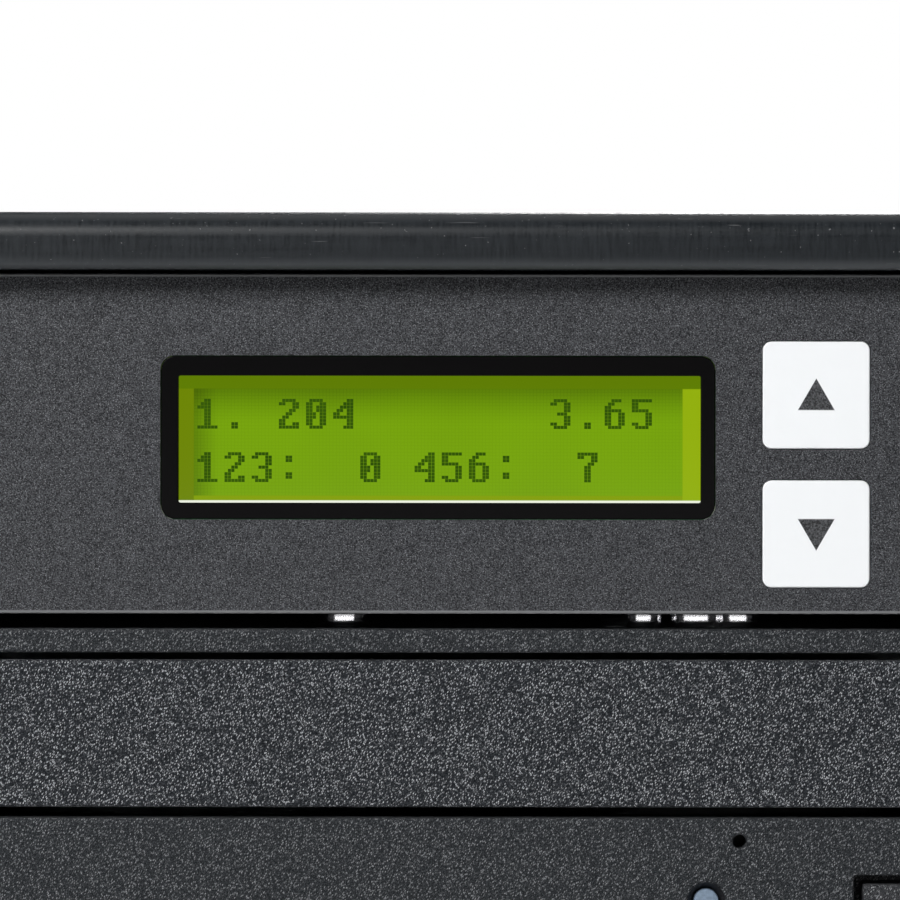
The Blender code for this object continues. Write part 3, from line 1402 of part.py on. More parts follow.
def mains_inlet():
    # The inlet's socket with three pins, and above it the well that holds the rocker.
    left, right, low, high = inlet_opening(INLET_RIM)
    rim = box((left, RIM_FRONT, low), (right, RIM_FACE, high))
    left, right, low, high = inlet_opening(0)
    block = box((left, RIM_FACE - INLET_DEPTH, low), (right, RIM_FACE - INLET_RIM_THICKNESS / 2, high))
    floor = RIM_FACE - SOCKET_DEPTH
    outline = rounded(SOCKET_WIDTH, SOCKET_HEIGHT, SOCKET_CORNER, 2, (INLET_X, INLET_Z))
    socket = prism(outline, "Y", floor, RIM_FACE + OVERRUN)
    across = ROCKER_WIDTH / 2 + GAP
    up = ROCKER_HEIGHT / 2 + GAP
    well = box(
        (INLET_X - across, RIM_FACE - SWITCH_WELL_DEPTH, ROCKER_Z - up),
        (INLET_X + across, RIM_FACE + OVERRUN, ROCKER_Z + up),
    )
    reach = up + ROCKER_PIN_LENGTH
    pivot = rod(ROCKER_PIN_RADIUS + GAP, 2 * reach, 8, "Z", (INLET_X, ROCKER_Y, ROCKER_Z - reach))
    module = cut(fused(rim, block), socket, well, pivot)
    pins = []
    for x, z in ((-PIN_SPACING / 2, 0), (PIN_SPACING / 2, 0), (0, EARTH_PIN_RISE)):
        pins.append(
            box(
                (INLET_X + x - PIN_WIDTH / 2, floor - PIN_WIDTH / 2, INLET_Z + z - PIN_HEIGHT / 2),
                (INLET_X + x + PIN_WIDTH / 2, floor + PIN_LENGTH, INLET_Z + z + PIN_HEIGHT / 2),
            )
        )
    return fused(module, *pins)


def rocker_switch():
    # The origin is on the pivot; the face looks along +Y.
    half = ROCKER_WIDTH / 2
    outline = (
        (-half, -ROCKER_SHOULDER),
        (-ROCKER_BACK_HALF, -ROCKER_BACK),
        (ROCKER_BACK_HALF, -ROCKER_BACK),
        (half, -ROCKER_SHOULDER),
        (half, ROCKER_END_RISE),
        (0, ROCKER_MIDDLE_RISE),
        (-half, ROCKER_END_RISE),
    )
    body = prism(outline, "Z", -ROCKER_HEIGHT / 2, ROCKER_HEIGHT / 2)
    reach = ROCKER_HEIGHT / 2 + ROCKER_PIN_LENGTH
    return fused(body, rod(ROCKER_PIN_RADIUS, 2 * reach, 8, "Z", (0, 0, -reach)))


def fan_frame():
    # The origin is on the fan's axis at its inner face, and it runs along +Y.
    frame = prism(rounded(FAN_SIDE, FAN_SIDE, FAN_CORNER, 2), "Y", 0, FAN_DEPTH)
    length = FAN_DEPTH + 2 * OVERRUN
    bore = rod(FAN_BORE_RADIUS, length, 28, "Y", (0, -OVERRUN, 0))
    holes = [rod(FAN_HOLE_RADIUS, length, 8, "Y", (x, -OVERRUN, z)) for x, z in corners(FAN_HOLE_SPACING / 2)]
    frame = cut(frame, bore, *holes)
    reach = FAN_BORE_RADIUS + FAN_STRUT_WIDTH / 2
    half = FAN_STRUT_WIDTH / 2
    cross = (
        (reach, -half),
        (reach, half),
        (half, half),
        (half, reach),
        (-half, reach),
        (-half, half),
        (-reach, half),
        (-reach, -half),
        (-half, -half),
        (-half, -reach),
        (half, -reach),
        (half, -half),
    )
    inset = (FAN_BASE_THICKNESS - FAN_STRUT_THICKNESS) / 2
    struts = prism(cross, "Y", inset, inset + FAN_STRUT_THICKNESS)
    shaft_end = FAN_BASE_THICKNESS + FAN_SHAFT_LENGTH
    profile = (
        (0, 0),
        (FAN_HUB_RADIUS, 0),
        (FAN_HUB_RADIUS, FAN_BASE_THICKNESS),
        (FAN_SHAFT_RADIUS, FAN_BASE_THICKNESS),
        (FAN_SHAFT_RADIUS, shaft_end),
        (0, shaft_end),
    )
    return fused(frame, struts, turned(profile, 16, "Y"))


def rear_fan_place():
    return (REAR_FAN_X, REAR_IN - GAP - FAN_DEPTH, REAR_FAN_Z)


def psu_fan_place():
    return (PSU_FAN_X, PSU_BACK - PSU_SHEET / 2 - FAN_DEPTH, PSU_MIDDLE)


def fan_rotor():
    # The origin is on the axis at the frame's inner face, and it runs along +Y.
    low = FAN_BASE_THICKNESS + GAP
    high = low + ROTOR_DEPTH
    bore = FAN_SHAFT_RADIUS + GAP
    bore_end = FAN_BASE_THICKNESS + FAN_SHAFT_LENGTH + GAP
    radius = FAN_HUB_RADIUS - GAP
    profile = ((0, bore_end), (bore, bore_end), (bore, low), (radius, low), (radius, high), (0, high))
    hub = turned(profile, 16, "Y")
    tip = FAN_BORE_RADIUS - ROTOR_TIP_CLEARANCE
    half = BLADE_CHORD / 2
    blades = []
    for number in range(BLADE_COUNT):
        blade = box(
            (radius - BLADE_THICKNESS, -half, -BLADE_THICKNESS / 2), (tip, half, BLADE_THICKNESS / 2)
        )
        turn = Matrix.Rotation(math.tau * number / BLADE_COUNT, 4, "Y")
        lift = Matrix.Translation((0, (low + high) / 2, 0))
        twist = Matrix.Rotation(math.radians(90 - BLADE_PITCH), 4, "X")
        bmesh.ops.transform(blade, matrix=turn @ lift @ twist, verts=blade.verts)
        blades.append(blade)
    return fused(hub, *blades)


def tube(points, radius):
    curve = bpy.data.curves.new("route", "CURVE")
    curve.dimensions = "3D"
    curve.bevel_depth = radius
    curve.bevel_resolution = 1
    curve.use_fill_caps = True
    spline = curve.splines.new("POLY")
    spline.points.add(len(points) - 1)
    for target, point in zip(spline.points, points):
        target.co = (*point, 1)
    item = bpy.data.objects.new("route", curve)
    bpy.context.scene.collection.objects.link(item)
    graph = bpy.context.evaluated_depsgraph_get()
    mesh = bpy.data.meshes.new_from_object(item.evaluated_get(graph))
    shape = bmesh.new()
    shape.from_mesh(mesh)
    bpy.data.meshes.remove(mesh)
    bpy.data.objects.remove(item)
    bpy.data.curves.remove(curve)
    bmesh.ops.remove_doubles(shape, verts=shape.verts, dist=WELD)
    bmesh.ops.recalc_face_normals(shape, faces=shape.faces)
    return shape


def bend(start, start_pull, end_pull, end, count):
    # Points along a smooth bend that leaves the start and reaches the end by the two pulls.
    first = Vector(start)
    last = Vector(end)
    pulls = (first + Vector(start_pull), last + Vector(end_pull))
    return geometry.interpolate_bezier(first, *pulls, last, count)


def drive_port_middle(number, x):
    # The middle of a port's outer face; drive 1 is the top one.
    place = drive_anchor_places()[number - 1]
    return (x, place[1] + CASE_BACK, place[2] + DRIVE_BOARD_LOW + BOARD_THICKNESS / 2 + DRIVE_PORT_HEIGHT / 2)


def plug(port, width, height, length):
    # A plug that faces a port, along +Y from it.
    x, y, z = port
    low = (x - width / 2, y + GAP, z - height / 2)
    return box(low, (x + width / 2, y + GAP + length, z + height / 2))


def strip(points, width, thickness):
    # A flat ribbon, from its middle line in Y and Z.
    shape = bmesh.new()
    line = [shape.verts.new((-width / 2, y, z)) for y, z in points]
    edges = [shape.edges.new(pair) for pair in zip(line, line[1:])]
    pulled = bmesh.ops.extrude_edge_only(shape, edges=edges)["geom"]
    far = [item for item in pulled if isinstance(item, bmesh.types.BMVert)]
    bmesh.ops.translate(shape, verts=far, vec=(width, 0, 0))
    bmesh.ops.recalc_face_normals(shape, faces=shape.faces)
    bmesh.ops.solidify(shape, geom=shape.faces, thickness=thickness)
    bmesh.ops.recalc_face_normals(shape, faces=shape.faces)
    return shape


def ribbon():
    # The flat cable from the display board down to the controller board.
    start = FACE_Y + DISPLAY_BOARD_START + BOARD_THICKNESS / 2
    edge = HOUSING_FRONT + CONTROL_BOARD_START
    low = control_board_low() + BOARD_THICKNESS + GAP + RIBBON_THICKNESS
    line = (
        (start, panel_middle()),
        (start + RIBBON_LAP, panel_middle()),
        (edge - RIBBON_LAP, low),
        (edge + RIBBON_LAP, low),
    )
    return strip(line, RIBBON_WIDTH, RIBBON_THICKNESS)


def loom(port_x, plug_width, ports, port_width, radius, trunk_radius):
    # A bundle behind the drives: a trunk with a plug for each drive, and a lead to each controller port.
    bottom = drive_port_middle(BAY_COUNT - 1, port_x)
    top = drive_port_middle(1, port_x)
    trunk_y = trunk_place(trunk_radius)
    head = top[2] + CABLE_SPAN
    height = control_board_low() + BOARD_THICKNESS + PORT_HEIGHT / 2
    plug_height = DRIVE_PORT_HEIGHT - 2 * GAP
    bodies = []
    for index, (x, y) in enumerate(ports, 1):
        port = (x, y, height)
        start = Vector(port) + Vector((0, GAP + PLUG_LENGTH / 2, 0))
        end = (port_x, trunk_y, head - index * trunk_radius)
        line = bend(start, (0, CABLE_SPAN, 0), (0, 0, CABLE_SPAN), end, CABLE_BEND_POINTS)
        bodies.append(tube(line, radius))
        bodies.append(plug(port, port_width - 2 * GAP, plug_height, PLUG_LENGTH))
    for number in range(1, BAY_COUNT):
        place = drive_port_middle(number, port_x)
        bodies.append(plug(place, plug_width - 2 * GAP, plug_height, PLUG_LENGTH + trunk_radius / 2))
    trunk = tube([(port_x, trunk_y, bottom[2]), (port_x, trunk_y, head)], trunk_radius)
    return fused(trunk, *bodies)


def trunk_place(radius):
    # How far back a bundle's trunk runs.
    return drive_port_middle(1, 0)[1] + GAP + PLUG_LENGTH + radius / 2


def data_cables():
    ports = data_port_places()
    return loom(DATA_PORT_X, DATA_PORT_WIDTH, ports, PORT_WIDTH, DATA_CABLE_RADIUS, DATA_TRUNK_RADIUS)


def power_harness():
    port = (POWER_PORT_X, data_port_places()[0][1])
    bundle = loom(
        DRIVE_POWER_X, DRIVE_POWER_WIDTH, [port], POWER_PORT_WIDTH, POWER_CABLE_RADIUS, POWER_TRUNK_RADIUS
    )
    # The supply's own lead comes out of its case and joins the trunk above the lowest drive.
    outlet = (DRIVE_POWER_X, PSU_BACK - PSU_DEPTH + PSU_BOARD_INSET, HARNESS_Z)
    height = drive_port_middle(BAY_COUNT - 1, 0)[2] + CABLE_SPAN
    join = (DRIVE_POWER_X, trunk_place(POWER_TRUNK_RADIUS), height)
    line = bend(outlet, (0, -CABLE_SPAN, 0), (0, 0, -CABLE_SPAN), join, CABLE_BEND_POINTS)
    return fused(bundle, tube(line, POWER_CABLE_RADIUS))


def build_drives():
    shapes = {
        "drive_case": (drive_case(), "steel", (0, 0, 0)),
        "drive_bezel": (drive_bezel(), "dark_plastic", (0, 0, 0)),
        "disc_tray": (disc_tray(), "grey_plastic", (0, 0, 0)),
        "tray_front": (tray_front(), "dark_plastic", (0, 0, 0)),
        "eject_button": (eject_button(), "dark_plastic", eject_place()),
        "spindle": (spindle(), "grey_plastic", (0, DISC_CENTRE_DEPTH, DECK_TOP)),
        "laser_sled": (laser_sled(), "steel", (0, DISC_CENTRE_DEPTH + SLED_START, DECK_MIDDLE)),
    }
    anchors = [anchor(f"drive_{number}", at) for number, at in enumerate(drive_anchor_places(), 1)]
    for kind, (shape, finish, at) in shapes.items():
        first = node(f"{kind}_1", shape, finish, at, anchors[0])
        for number, parent in enumerate(anchors[1:], 2):
            placed(f"{kind}_{number}", first.data, at, parent)


def build_tower():
    for item in list(bpy.data.objects):
        bpy.data.objects.remove(item)
    node("chassis_base", chassis_base(), "black_paint")
    node("rear_panel", rear_panel(), "black_paint")
    node("outer_cover", outer_cover(), "black_paint")
    node("front_bezel", front_bezel(), "satin_black")
    node("drive_cage", drive_cage(), "steel")
    places = foot_places()
    first_foot = node("foot_1", rubber_foot(), "rubber", (*places[0], 0))
    for number, place in enumerate(places[1:], 2):
        placed(f"foot_{number}", first_foot.data, (*place, 0), None)
    button_place = (POWER_BUTTON_X, FRONT_Y + POWER_BUTTON_INSET, POWER_BUTTON_Z)
    node("power_button", power_button(), "satin_black", button_place)
    node("power_switch", power_switch(), "grey_plastic")
    node("power_lens", lens(), "lens", (POWER_LIGHT_X, FRONT_Y + GAP, POWER_BUTTON_Z))
    node("panel_overlay", panel_overlay(), "panel_film")
    node("control_faceplate", control_faceplate(), "dark_plastic")
    node("lcd_frame", lcd_frame(), "black_gloss")
    node("lcd_glass", lcd_glass(), "green_glass")
    node("display_board", display_board(), "board")
    keys = iter(key_places().items())
    name, at = next(keys)
    first_key = node(name, key(), "white_key", at)
    for name, at in keys:
        placed(name, first_key.data, at, None)
    node("control_housing", control_housing(), "steel")
    node("control_board", control_board(), "board")
    build_drives()
    node("psu_case", psu_case(), "steel")
    node("psu_board", psu_board(), "board")
    node("mains_inlet", mains_inlet(), "black_gloss")
    rocker = node("rocker_switch", rocker_switch(), "black_gloss", (INLET_X, ROCKER_Y, ROCKER_Z))
    rocker.rotation_euler.z = math.radians(ROCKER_ANGLE)
    node("rear_fan_frame", fan_frame(), "satin_black", rear_fan_place())
    rotor = node("rear_fan_rotor", fan_rotor(), "satin_black", rear_fan_place())
    placed("psu_fan_rotor", rotor.data, psu_fan_place(), None)
    node("data_cables", data_cables(), "cable")
    node("power_harness", power_harness(), "harness")
    bpy.context.view_layer.update()


build_tower()
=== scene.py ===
# The disc duplicator tower as it looks, seen close up at the top of its front.
# Lengths are in metres in the row frame: +Z up, the front faces -Y, +X to the right.

import math

import bmesh
import bpy
from mathutils import Matrix, Vector


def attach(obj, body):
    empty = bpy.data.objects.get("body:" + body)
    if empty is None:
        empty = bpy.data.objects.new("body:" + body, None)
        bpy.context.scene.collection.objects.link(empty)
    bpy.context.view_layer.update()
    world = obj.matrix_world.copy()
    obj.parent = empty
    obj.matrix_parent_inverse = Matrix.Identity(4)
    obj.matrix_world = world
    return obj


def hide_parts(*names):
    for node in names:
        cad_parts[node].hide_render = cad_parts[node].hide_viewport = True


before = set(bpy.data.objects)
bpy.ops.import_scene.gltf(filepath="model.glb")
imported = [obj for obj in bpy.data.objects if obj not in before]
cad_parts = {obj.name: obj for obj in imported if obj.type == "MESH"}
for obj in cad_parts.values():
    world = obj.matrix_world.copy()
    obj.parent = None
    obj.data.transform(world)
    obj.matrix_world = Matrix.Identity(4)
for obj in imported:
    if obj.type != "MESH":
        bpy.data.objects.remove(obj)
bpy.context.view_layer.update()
print("stage: frame loaded")

faceY = -0.1645
frontY = -0.170
panelTop = 0.34455
bayPitch = 0.0439
bezelHeight = 0.0418
seam = 0.00002  # the narrow flat that keeps the shading of a rounded edge off the face
driveLows = [panelTop - bayPitch * number - bezelHeight for number in range(1, 5)]


# Outlines: each gives its points for a growth, so that a rounded edge can follow it.
def roundRect(width, height, radius, middle=(0, 0), steps=6):
    def points(grow=0.0):
        corner = max(radius + grow, seam)
        across = width / 2 + grow - corner
        up = height / 2 + grow - corner
        found = []
        for number, (sideX, sideZ) in enumerate(((1, 1), (-1, 1), (-1, -1), (1, -1))):
            for step in range(steps + 1):
                angle = math.pi / 2 * (number + step / steps)
                x = middle[0] + sideX * across + corner * math.cos(angle)
                found.append((x, middle[1] + sideZ * up + corner * math.sin(angle)))
        return found

    return points


def circle(radius, middle=(0, 0), steps=32):
    def points(grow=0.0):
        turn = math.tau / steps
        reach = radius + grow
        angles = [turn * number for number in range(steps)]
        return [(middle[0] + reach * math.cos(a), middle[1] + reach * math.sin(a)) for a in angles]

    return points


def longHole(width, height, middle=(0, 0), steps=6):
    return roundRect(width, height, height / 2 - 0.00001, middle, steps)


def fixedLine(corners):
    def points(grow=0.0):
        return list(corners)

    return points


def edgeRings(sign, edge, depth, backEdge, steps):
    # Pairs of growth and depth, from the front face round the edge to the back face.
    rings = []
    if edge > 0:
        rings.append((sign * (edge + seam), 0))
        for step in range(steps + 1):
            angle = math.pi / 2 * step / steps
            rings.append((sign * edge * (1 - math.sin(angle)), edge * (1 - math.cos(angle))))
        rings.append((0, edge + seam))
    else:
        rings.append((0, 0))
    if backEdge > 0:
        rings.append((0, depth - backEdge - seam))
        for step in range(steps + 1):
            angle = math.pi / 2 * step / steps
            rings.append((sign * backEdge * (1 - math.cos(angle)), depth - backEdge * (1 - math.sin(angle))))
        rings.append((sign * (backEdge + seam), depth))
    else:
        rings.append((0, depth))
    return rings


def plate(outline, holes=(), depth=0.001, edge=0.0, holeEdge=0.0, backEdge=0.0, steps=4):
    # A flat piece in X and Z, with its front at Y = 0 and its back at Y = depth.
    shape = bmesh.new()
    ends = ([], [])
    for number, line in enumerate((outline, *holes)):
        rings = edgeRings(1, holeEdge, depth, 0, steps) if number else edgeRings(-1, edge, depth, backEdge, steps)
        loops = [[shape.verts.new((x, y, z)) for x, z in line(grow)] for grow, y in rings]
        for near, far in zip(loops, loops[1:]):
            for index in range(len(near)):
                after = (index + 1) % len(near)
                shape.faces.new((near[index], near[after], far[after], far[index]))
        for side, loop in ((0, loops[0]), (1, loops[-1])):
            for index in range(len(loop)):
                ends[side].append(shape.edges.get((loop[index], loop[(index + 1) % len(loop)])))
    for side in ends:
        bmesh.ops.triangle_fill(shape, edges=side, use_beauty=True)
    bmesh.ops.recalc_face_normals(shape, faces=shape.faces)
    return shape


def turned(profile, steps=40):
    # A profile of radius and height turned round Z; it begins and ends on the axis.
    shape = bmesh.new()
    points = [shape.verts.new((radius, 0, height)) for radius, height in profile]
    edges = [shape.edges.new(pair) for pair in zip(points, points[1:])]
    bmesh.ops.spin(
        shape, geom=points + edges, cent=(0, 0, 0), axis=(0, 0, 1), angle=math.tau, steps=steps, use_merge=True
    )
    bmesh.ops.remove_doubles(shape, verts=shape.verts, dist=1e-7)
    bmesh.ops.recalc_face_normals(shape, faces=shape.faces)
    return shape


def block(low, high, edge=0.0, steps=3):
    shape = bmesh.new()
    bmesh.ops.create_cube(shape, size=1)
    for vertex in shape.verts:
        vertex.co = [top if side > 0 else bottom for side, bottom, top in zip(vertex.co, low, high)]
    if edge > 0:
        edges = list(shape.edges)
        bmesh.ops.bevel(shape, geom=edges, offset=edge, segments=steps, profile=0.5, affect="EDGES", material=-1)
    return shape


def moved(shape, offset):
    bmesh.ops.translate(shape, verts=shape.verts, vec=offset)
    return shape


def turnedTo(shape, matrix):
    bmesh.ops.transform(shape, matrix=matrix, verts=shape.verts)
    if matrix.determinant() < 0:
        bmesh.ops.reverse_faces(shape, faces=shape.faces)
    return shape


def together(shapes):
    whole = bmesh.new()
    for shape in shapes:
        mesh = bpy.data.meshes.new("part")
        shape.to_mesh(mesh)
        shape.free()
        whole.from_mesh(mesh)
        bpy.data.meshes.remove(mesh)
    return whole


# Plates are made facing -Y, and turned pieces standing on Z.
facing = {
    "Y": Matrix.Rotation(math.pi, 4, "Z"),
    "X": Matrix.Rotation(math.pi / 2, 4, "Z"),
    "-X": Matrix.Rotation(-math.pi / 2, 4, "Z"),
    "Z": Matrix.Rotation(-math.pi / 2, 4, "X"),
}
lying = {"-Y": Matrix.Rotation(math.pi / 2, 4, "X"), "Y": Matrix.Rotation(-math.pi / 2, 4, "X")}


def piece(name, shape, body, material, replaced=(), sharp=32):
    mesh = bpy.data.meshes.new(name)
    shape.to_mesh(mesh)
    shape.free()
    mesh.materials.append(material)
    mesh.shade_smooth()
    mesh.set_sharp_from_angle(angle=math.radians(sharp))
    made = bpy.data.objects.new(name, mesh)
    bpy.context.scene.collection.objects.link(made)
    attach(made, body)
    if replaced:
        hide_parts(*replaced)
    return made


def pairOf(operation, swapped=False):
    # A sum of two terms for Wire; when swapped, the other term comes first.
    def made(self, other):
        return self.maths(operation, *((other, self) if swapped else (self, other)))

    return made


class Wire:
    # One output of a material's nodes, with arithmetic on it.
    def __init__(self, tree, socket):
        self.tree = tree
        self.socket = socket

    def add(self, kind, inputs, output=0, **settings):
        made = self.tree.nodes.new(kind)
        for name, value in settings.items():
            setattr(made, name, value)
        for key, value in inputs.items():
            feed(made.inputs[key], value)
        return Wire(self.tree, made.outputs[output])

    def maths(self, operation, *values):
        return self.add("ShaderNodeMath", dict(enumerate(values)), operation=operation)

    __add__ = pairOf("ADD")
    __sub__ = pairOf("SUBTRACT")
    __rsub__ = pairOf("SUBTRACT", True)
    __mul__ = pairOf("MULTIPLY")
    __truediv__ = pairOf("DIVIDE")
    __pow__ = pairOf("POWER")
    least = pairOf("MINIMUM")
    most = pairOf("MAXIMUM")

    def size(self):
        return self.maths("ABSOLUTE", self)

    def share(self):
        return self.maths("FRACT", self)

    def between(self, low, high, start=0.0, end=1.0):
        # Goes from start to end as this goes from low to high.
        inputs = {"Value": self, "From Min": low, "From Max": high, "To Min": start, "To Max": end}
        return self.add("ShaderNodeMapRange", inputs)

    def blend(self, first, second):
        # The first colour where this is 0 and the second where it is 1.
        made = self.tree.nodes.new("ShaderNodeMix")
        made.data_type = "RGBA"
        feed(made.inputs[0], self)
        feed(made.inputs[6], first)
        feed(made.inputs[7], second)
        return Wire(self.tree, made.outputs[2])

    def axes(self):
        made = self.tree.nodes.new("ShaderNodeSeparateXYZ")
        feed(made.inputs[0], self)
        return [Wire(self.tree, output) for output in made.outputs]

    def stretched(self, scale, turn=(0, 0, 0)):
        return self.add("ShaderNodeMapping", {"Vector": self, "Scale": scale, "Rotation": turn})

    def noise(self, scale, detail=2.0, rough=0.5):
        inputs = {"Vector": self, "Scale": scale, "Detail": detail, "Roughness": rough}
        return self.add("ShaderNodeTexNoise", inputs)

    def cells(self, scale, output="Color"):
        return self.add("ShaderNodeTexVoronoi", {"Vector": self, "Scale": scale}, output)

    def cell(self, scale):
        # A random number from 0 to 1 for each small cell.
        return self.cells(scale).axes()[0]

    def bump(self, distance, strength=1.0):
        return self.add("ShaderNodeBump", {"Height": self, "Distance": distance, "Strength": strength})


def feed(target, value):
    if isinstance(value, Wire):
        target.id_data.links.new(value.socket, target)
    elif isinstance(value, tuple) and len(value) == 3 and len(target.default_value) == 4:
        target.default_value = (*value, 1)
    else:
        target.default_value = value


class Finish:
    # A material, its Principled shader and the place on the piece as a Wire.
    def __init__(self, name, **settings):
        self.material = bpy.data.materials.new(name)
        self.material.use_nodes = True
        tree = self.material.node_tree
        self.shader = tree.nodes["Principled BSDF"]
        self.at = Wire(tree, tree.nodes.new("ShaderNodeTexCoord").outputs["Object"])
        self.set(**settings)

    def set(self, **settings):
        for name, value in settings.items():
            feed(self.shader.inputs[name.replace("_", " ")], value)
        return self


def linear(*colour):
    # A display colour, 0 to 255, as linear light.
    return tuple((part / 255) ** 2.2 for part in colour)


def shaded(colour, share):
    return tuple(part * share for part in colour)


def speckledFilm(name, dark, light, grain, roughness):
    # Dark film with a fine speckle; the brightest flecks are painted sparkle, and the paler band along its cut edge
    # is a painted highlight of that edge catching the light.
    made = Finish(name, Roughness=roughness, Specular_IOR_Level=0.25)
    z = made.at.axes()[2]
    fleck = made.at.noise(grain, 1.0)
    cloud = made.at.noise(grain / 6, 2.0)
    tone = (fleck * 0.85 + cloud * 0.15).between(0.37, 0.69).blend(dark, light)
    # Painted sparkle: a few flecks lighter in the colour, standing for glints of the spatter.
    sparkGrain = grain * 1.15
    luck = made.at.cell(sparkGrain)
    paintedSparkle = made.at.cells(sparkGrain, "Distance").between(0.5, 0.12) * luck.between(0.45, 1.0)
    tone = (paintedSparkle * 0.8).blend(tone, (0.38, 0.39, 0.41))
    middle, half = 0.32355, 0.0209  # the panel's own height
    # Painted highlight: a paler band along the film's cut edge, where the edge catches the light.
    rim = ((z - middle).size() - half).between(-0.00036, -0.00022)
    made.set(Base_Color=rim.blend(tone, (0.19, 0.195, 0.20)))
    return made.material


def sparklePlastic(name, base, middle, glint, grain):
    # Moulded plastic with an etched grain: small slanted facets; the glints of those that catch the light are painted
    # highlights in the colour.
    made = Finish(name, Roughness=0.5, Specular_IOR_Level=0.10)
    place = made.at.stretched((1, 1, 1), (0, -0.5, 0)).stretched((1, 1, 0.48))
    spots = place.cells(grain, "Distance")
    luck = place.cell(grain)
    fine = made.at.noise(grain * 1.3, 1.0)
    # Painted highlight: bright glint spots in the base colour.
    paintedGlints = spots.between(0.52, 0.10) * luck.between(0.1, 1.0) ** 1.5
    tone = fine.between(0.36, 0.66).blend(base, middle)
    made.set(Base_Color=paintedGlints.least(1.0).blend(tone, glint))
    made.set(Normal=fine.bump(0.00003, 0.4))
    return made.material


def satinFrame(name, base, roughness):
    # Satin black with dust and short scratches; the edges of the bay opening are lighter as a painted highlight.
    made = Finish(name, Roughness=roughness, Specular_IOR_Level=0.33)
    x, y, z = made.at.axes()
    streak = made.at.stretched((60, 700, 1300)).noise(1.0, 3.0)
    upright = made.at.stretched((2600, 300, 300)).noise(1.0, 2.0)
    fine = made.at.noise(3600, 2.0)
    mottle = streak * 0.25 + upright * 0.5 + fine * 0.25
    tone = mottle.between(0.32, 0.68).blend(shaded(base, 0.62), shaded(base, 1.38))
    dust = made.at.noise(1500, 1.0).between(0.75, 0.80)
    specks = made.at.noise(2900, 0.0).between(0.80, 0.86)
    scratch = made.at.stretched((150, 2600, 2600), (0, 0.02, 0)).noise(1.0, 1.0).between(0.735, 0.80)
    marks = (dust * 0.3 + specks * 0.35 + scratch * 0.2).least(0.6)
    tone = marks.blend(tone, (0.32, 0.32, 0.33))
    openHalf, openMiddle, openRise = 0.07505, 0.23575, 0.1092  # the bay opening
    across = x.size() - openHalf
    up = (z - openMiddle).size() - openRise
    # Painted highlight: lighter towards the rounded front edges of the bay opening, where they catch the light.
    paintedEdgeHighlight = across.most(up).size().between(0.0017, 0.0001) ** 2 * y.between(-0.1672, -0.1688)
    made.set(Base_Color=paintedEdgeHighlight.blend(tone, (0.080, 0.086, 0.092)))
    made.set(Roughness=mottle.between(0.38, 0.62, roughness - 0.09, roughness + 0.09))
    made.set(Normal=(mottle * 0.6 + fine * 0.4).bump(0.000012, 0.35))
    return made.material


def paintedSheet(name, base):
    made = Finish(name, Roughness=0.42)
    orange = made.at.noise(900, 2.0)
    dust = made.at.noise(260, 1.0).between(0.74, 0.80)
    made.set(Base_Color=(dust * 0.12).blend(base, (0.3, 0.3, 0.3)))
    made.set(Normal=orange.bump(0.00006, 0.35))
    return made.material


def zincSheet(name, polish=0.34):
    made = Finish(name, Metallic=1.0)
    patch = made.at.cell(90) * 0.5 + made.at.noise(160, 3.0) * 0.5
    grain = made.at.stretched((40, 1500, 1500)).noise(1.0, 2.0)
    made.set(Base_Color=patch.between(0.2, 0.8).blend((0.42, 0.43, 0.44), (0.60, 0.61, 0.62)))
    made.set(Roughness=(patch * 0.5 + grain * 0.5).between(0.2, 0.8, polish - 0.06, polish + 0.10))
    return made.material


def plainPlastic(name, base, roughness, grain=1500, depth=0.00002, shine=0.5):
    made = Finish(name, Roughness=roughness, Specular_IOR_Level=shine)
    rough = made.at.noise(grain, 2.0)
    made.set(Base_Color=rough.between(0.3, 0.7).blend(shaded(base, 0.9), shaded(base, 1.1)))
    made.set(Normal=rough.bump(depth, 0.5))
    return made.material


def rubber(name, base):
    made = Finish(name, Roughness=0.75)
    worn = made.at.noise(400, 3.0)
    made.set(Base_Color=worn.between(0.4, 0.7).blend(base, tuple(c * 1.8 + 0.01 for c in base)))
    made.set(Normal=worn.bump(0.00008, 0.4))
    return made.material


def circuitBoard(name):
    made = Finish(name, Roughness=0.35)
    x = made.at.axes()[0]
    lanes = ((x * 700).share() - 0.5).size().between(0.32, 0.36)
    broken = made.at.stretched((60, 25, 60)).cell(1.0).between(0.45, 0.47)
    pads = made.at.cells(420, "Distance").between(0.00020, 0.00016)
    copper = (lanes * broken * 0.6).most(pads)
    made.set(Base_Color=copper.least(1.0).blend((0.012, 0.09, 0.035), (0.05, 0.20, 0.08)))
    made.set(Normal=lanes.bump(0.00002, 0.4))
    return made.material


def clearLens(name, tint):
    made = Finish(name, Roughness=0.4)
    haze = made.at.noise(2600, 2.0)
    made.set(Base_Color=haze.between(0.35, 0.65).blend(shaded(tint, 0.86), shaded(tint, 1.14)))
    made.set(Roughness=haze.between(0.3, 0.7, 0.32, 0.45))
    return made.material


def brushedChrome(name):
    made = Finish(name, Base_Color=(0.9, 0.9, 0.92), Metallic=1.0)
    wear = made.at.noise(1200, 2.0)
    made.set(Roughness=wear.between(0.3, 0.7, 0.15, 0.16))
    return made.material


panelFilm = speckledFilm("panel_film", (0.0025, 0.003, 0.0045), (0.087, 0.090, 0.099), 5600, 0.5)
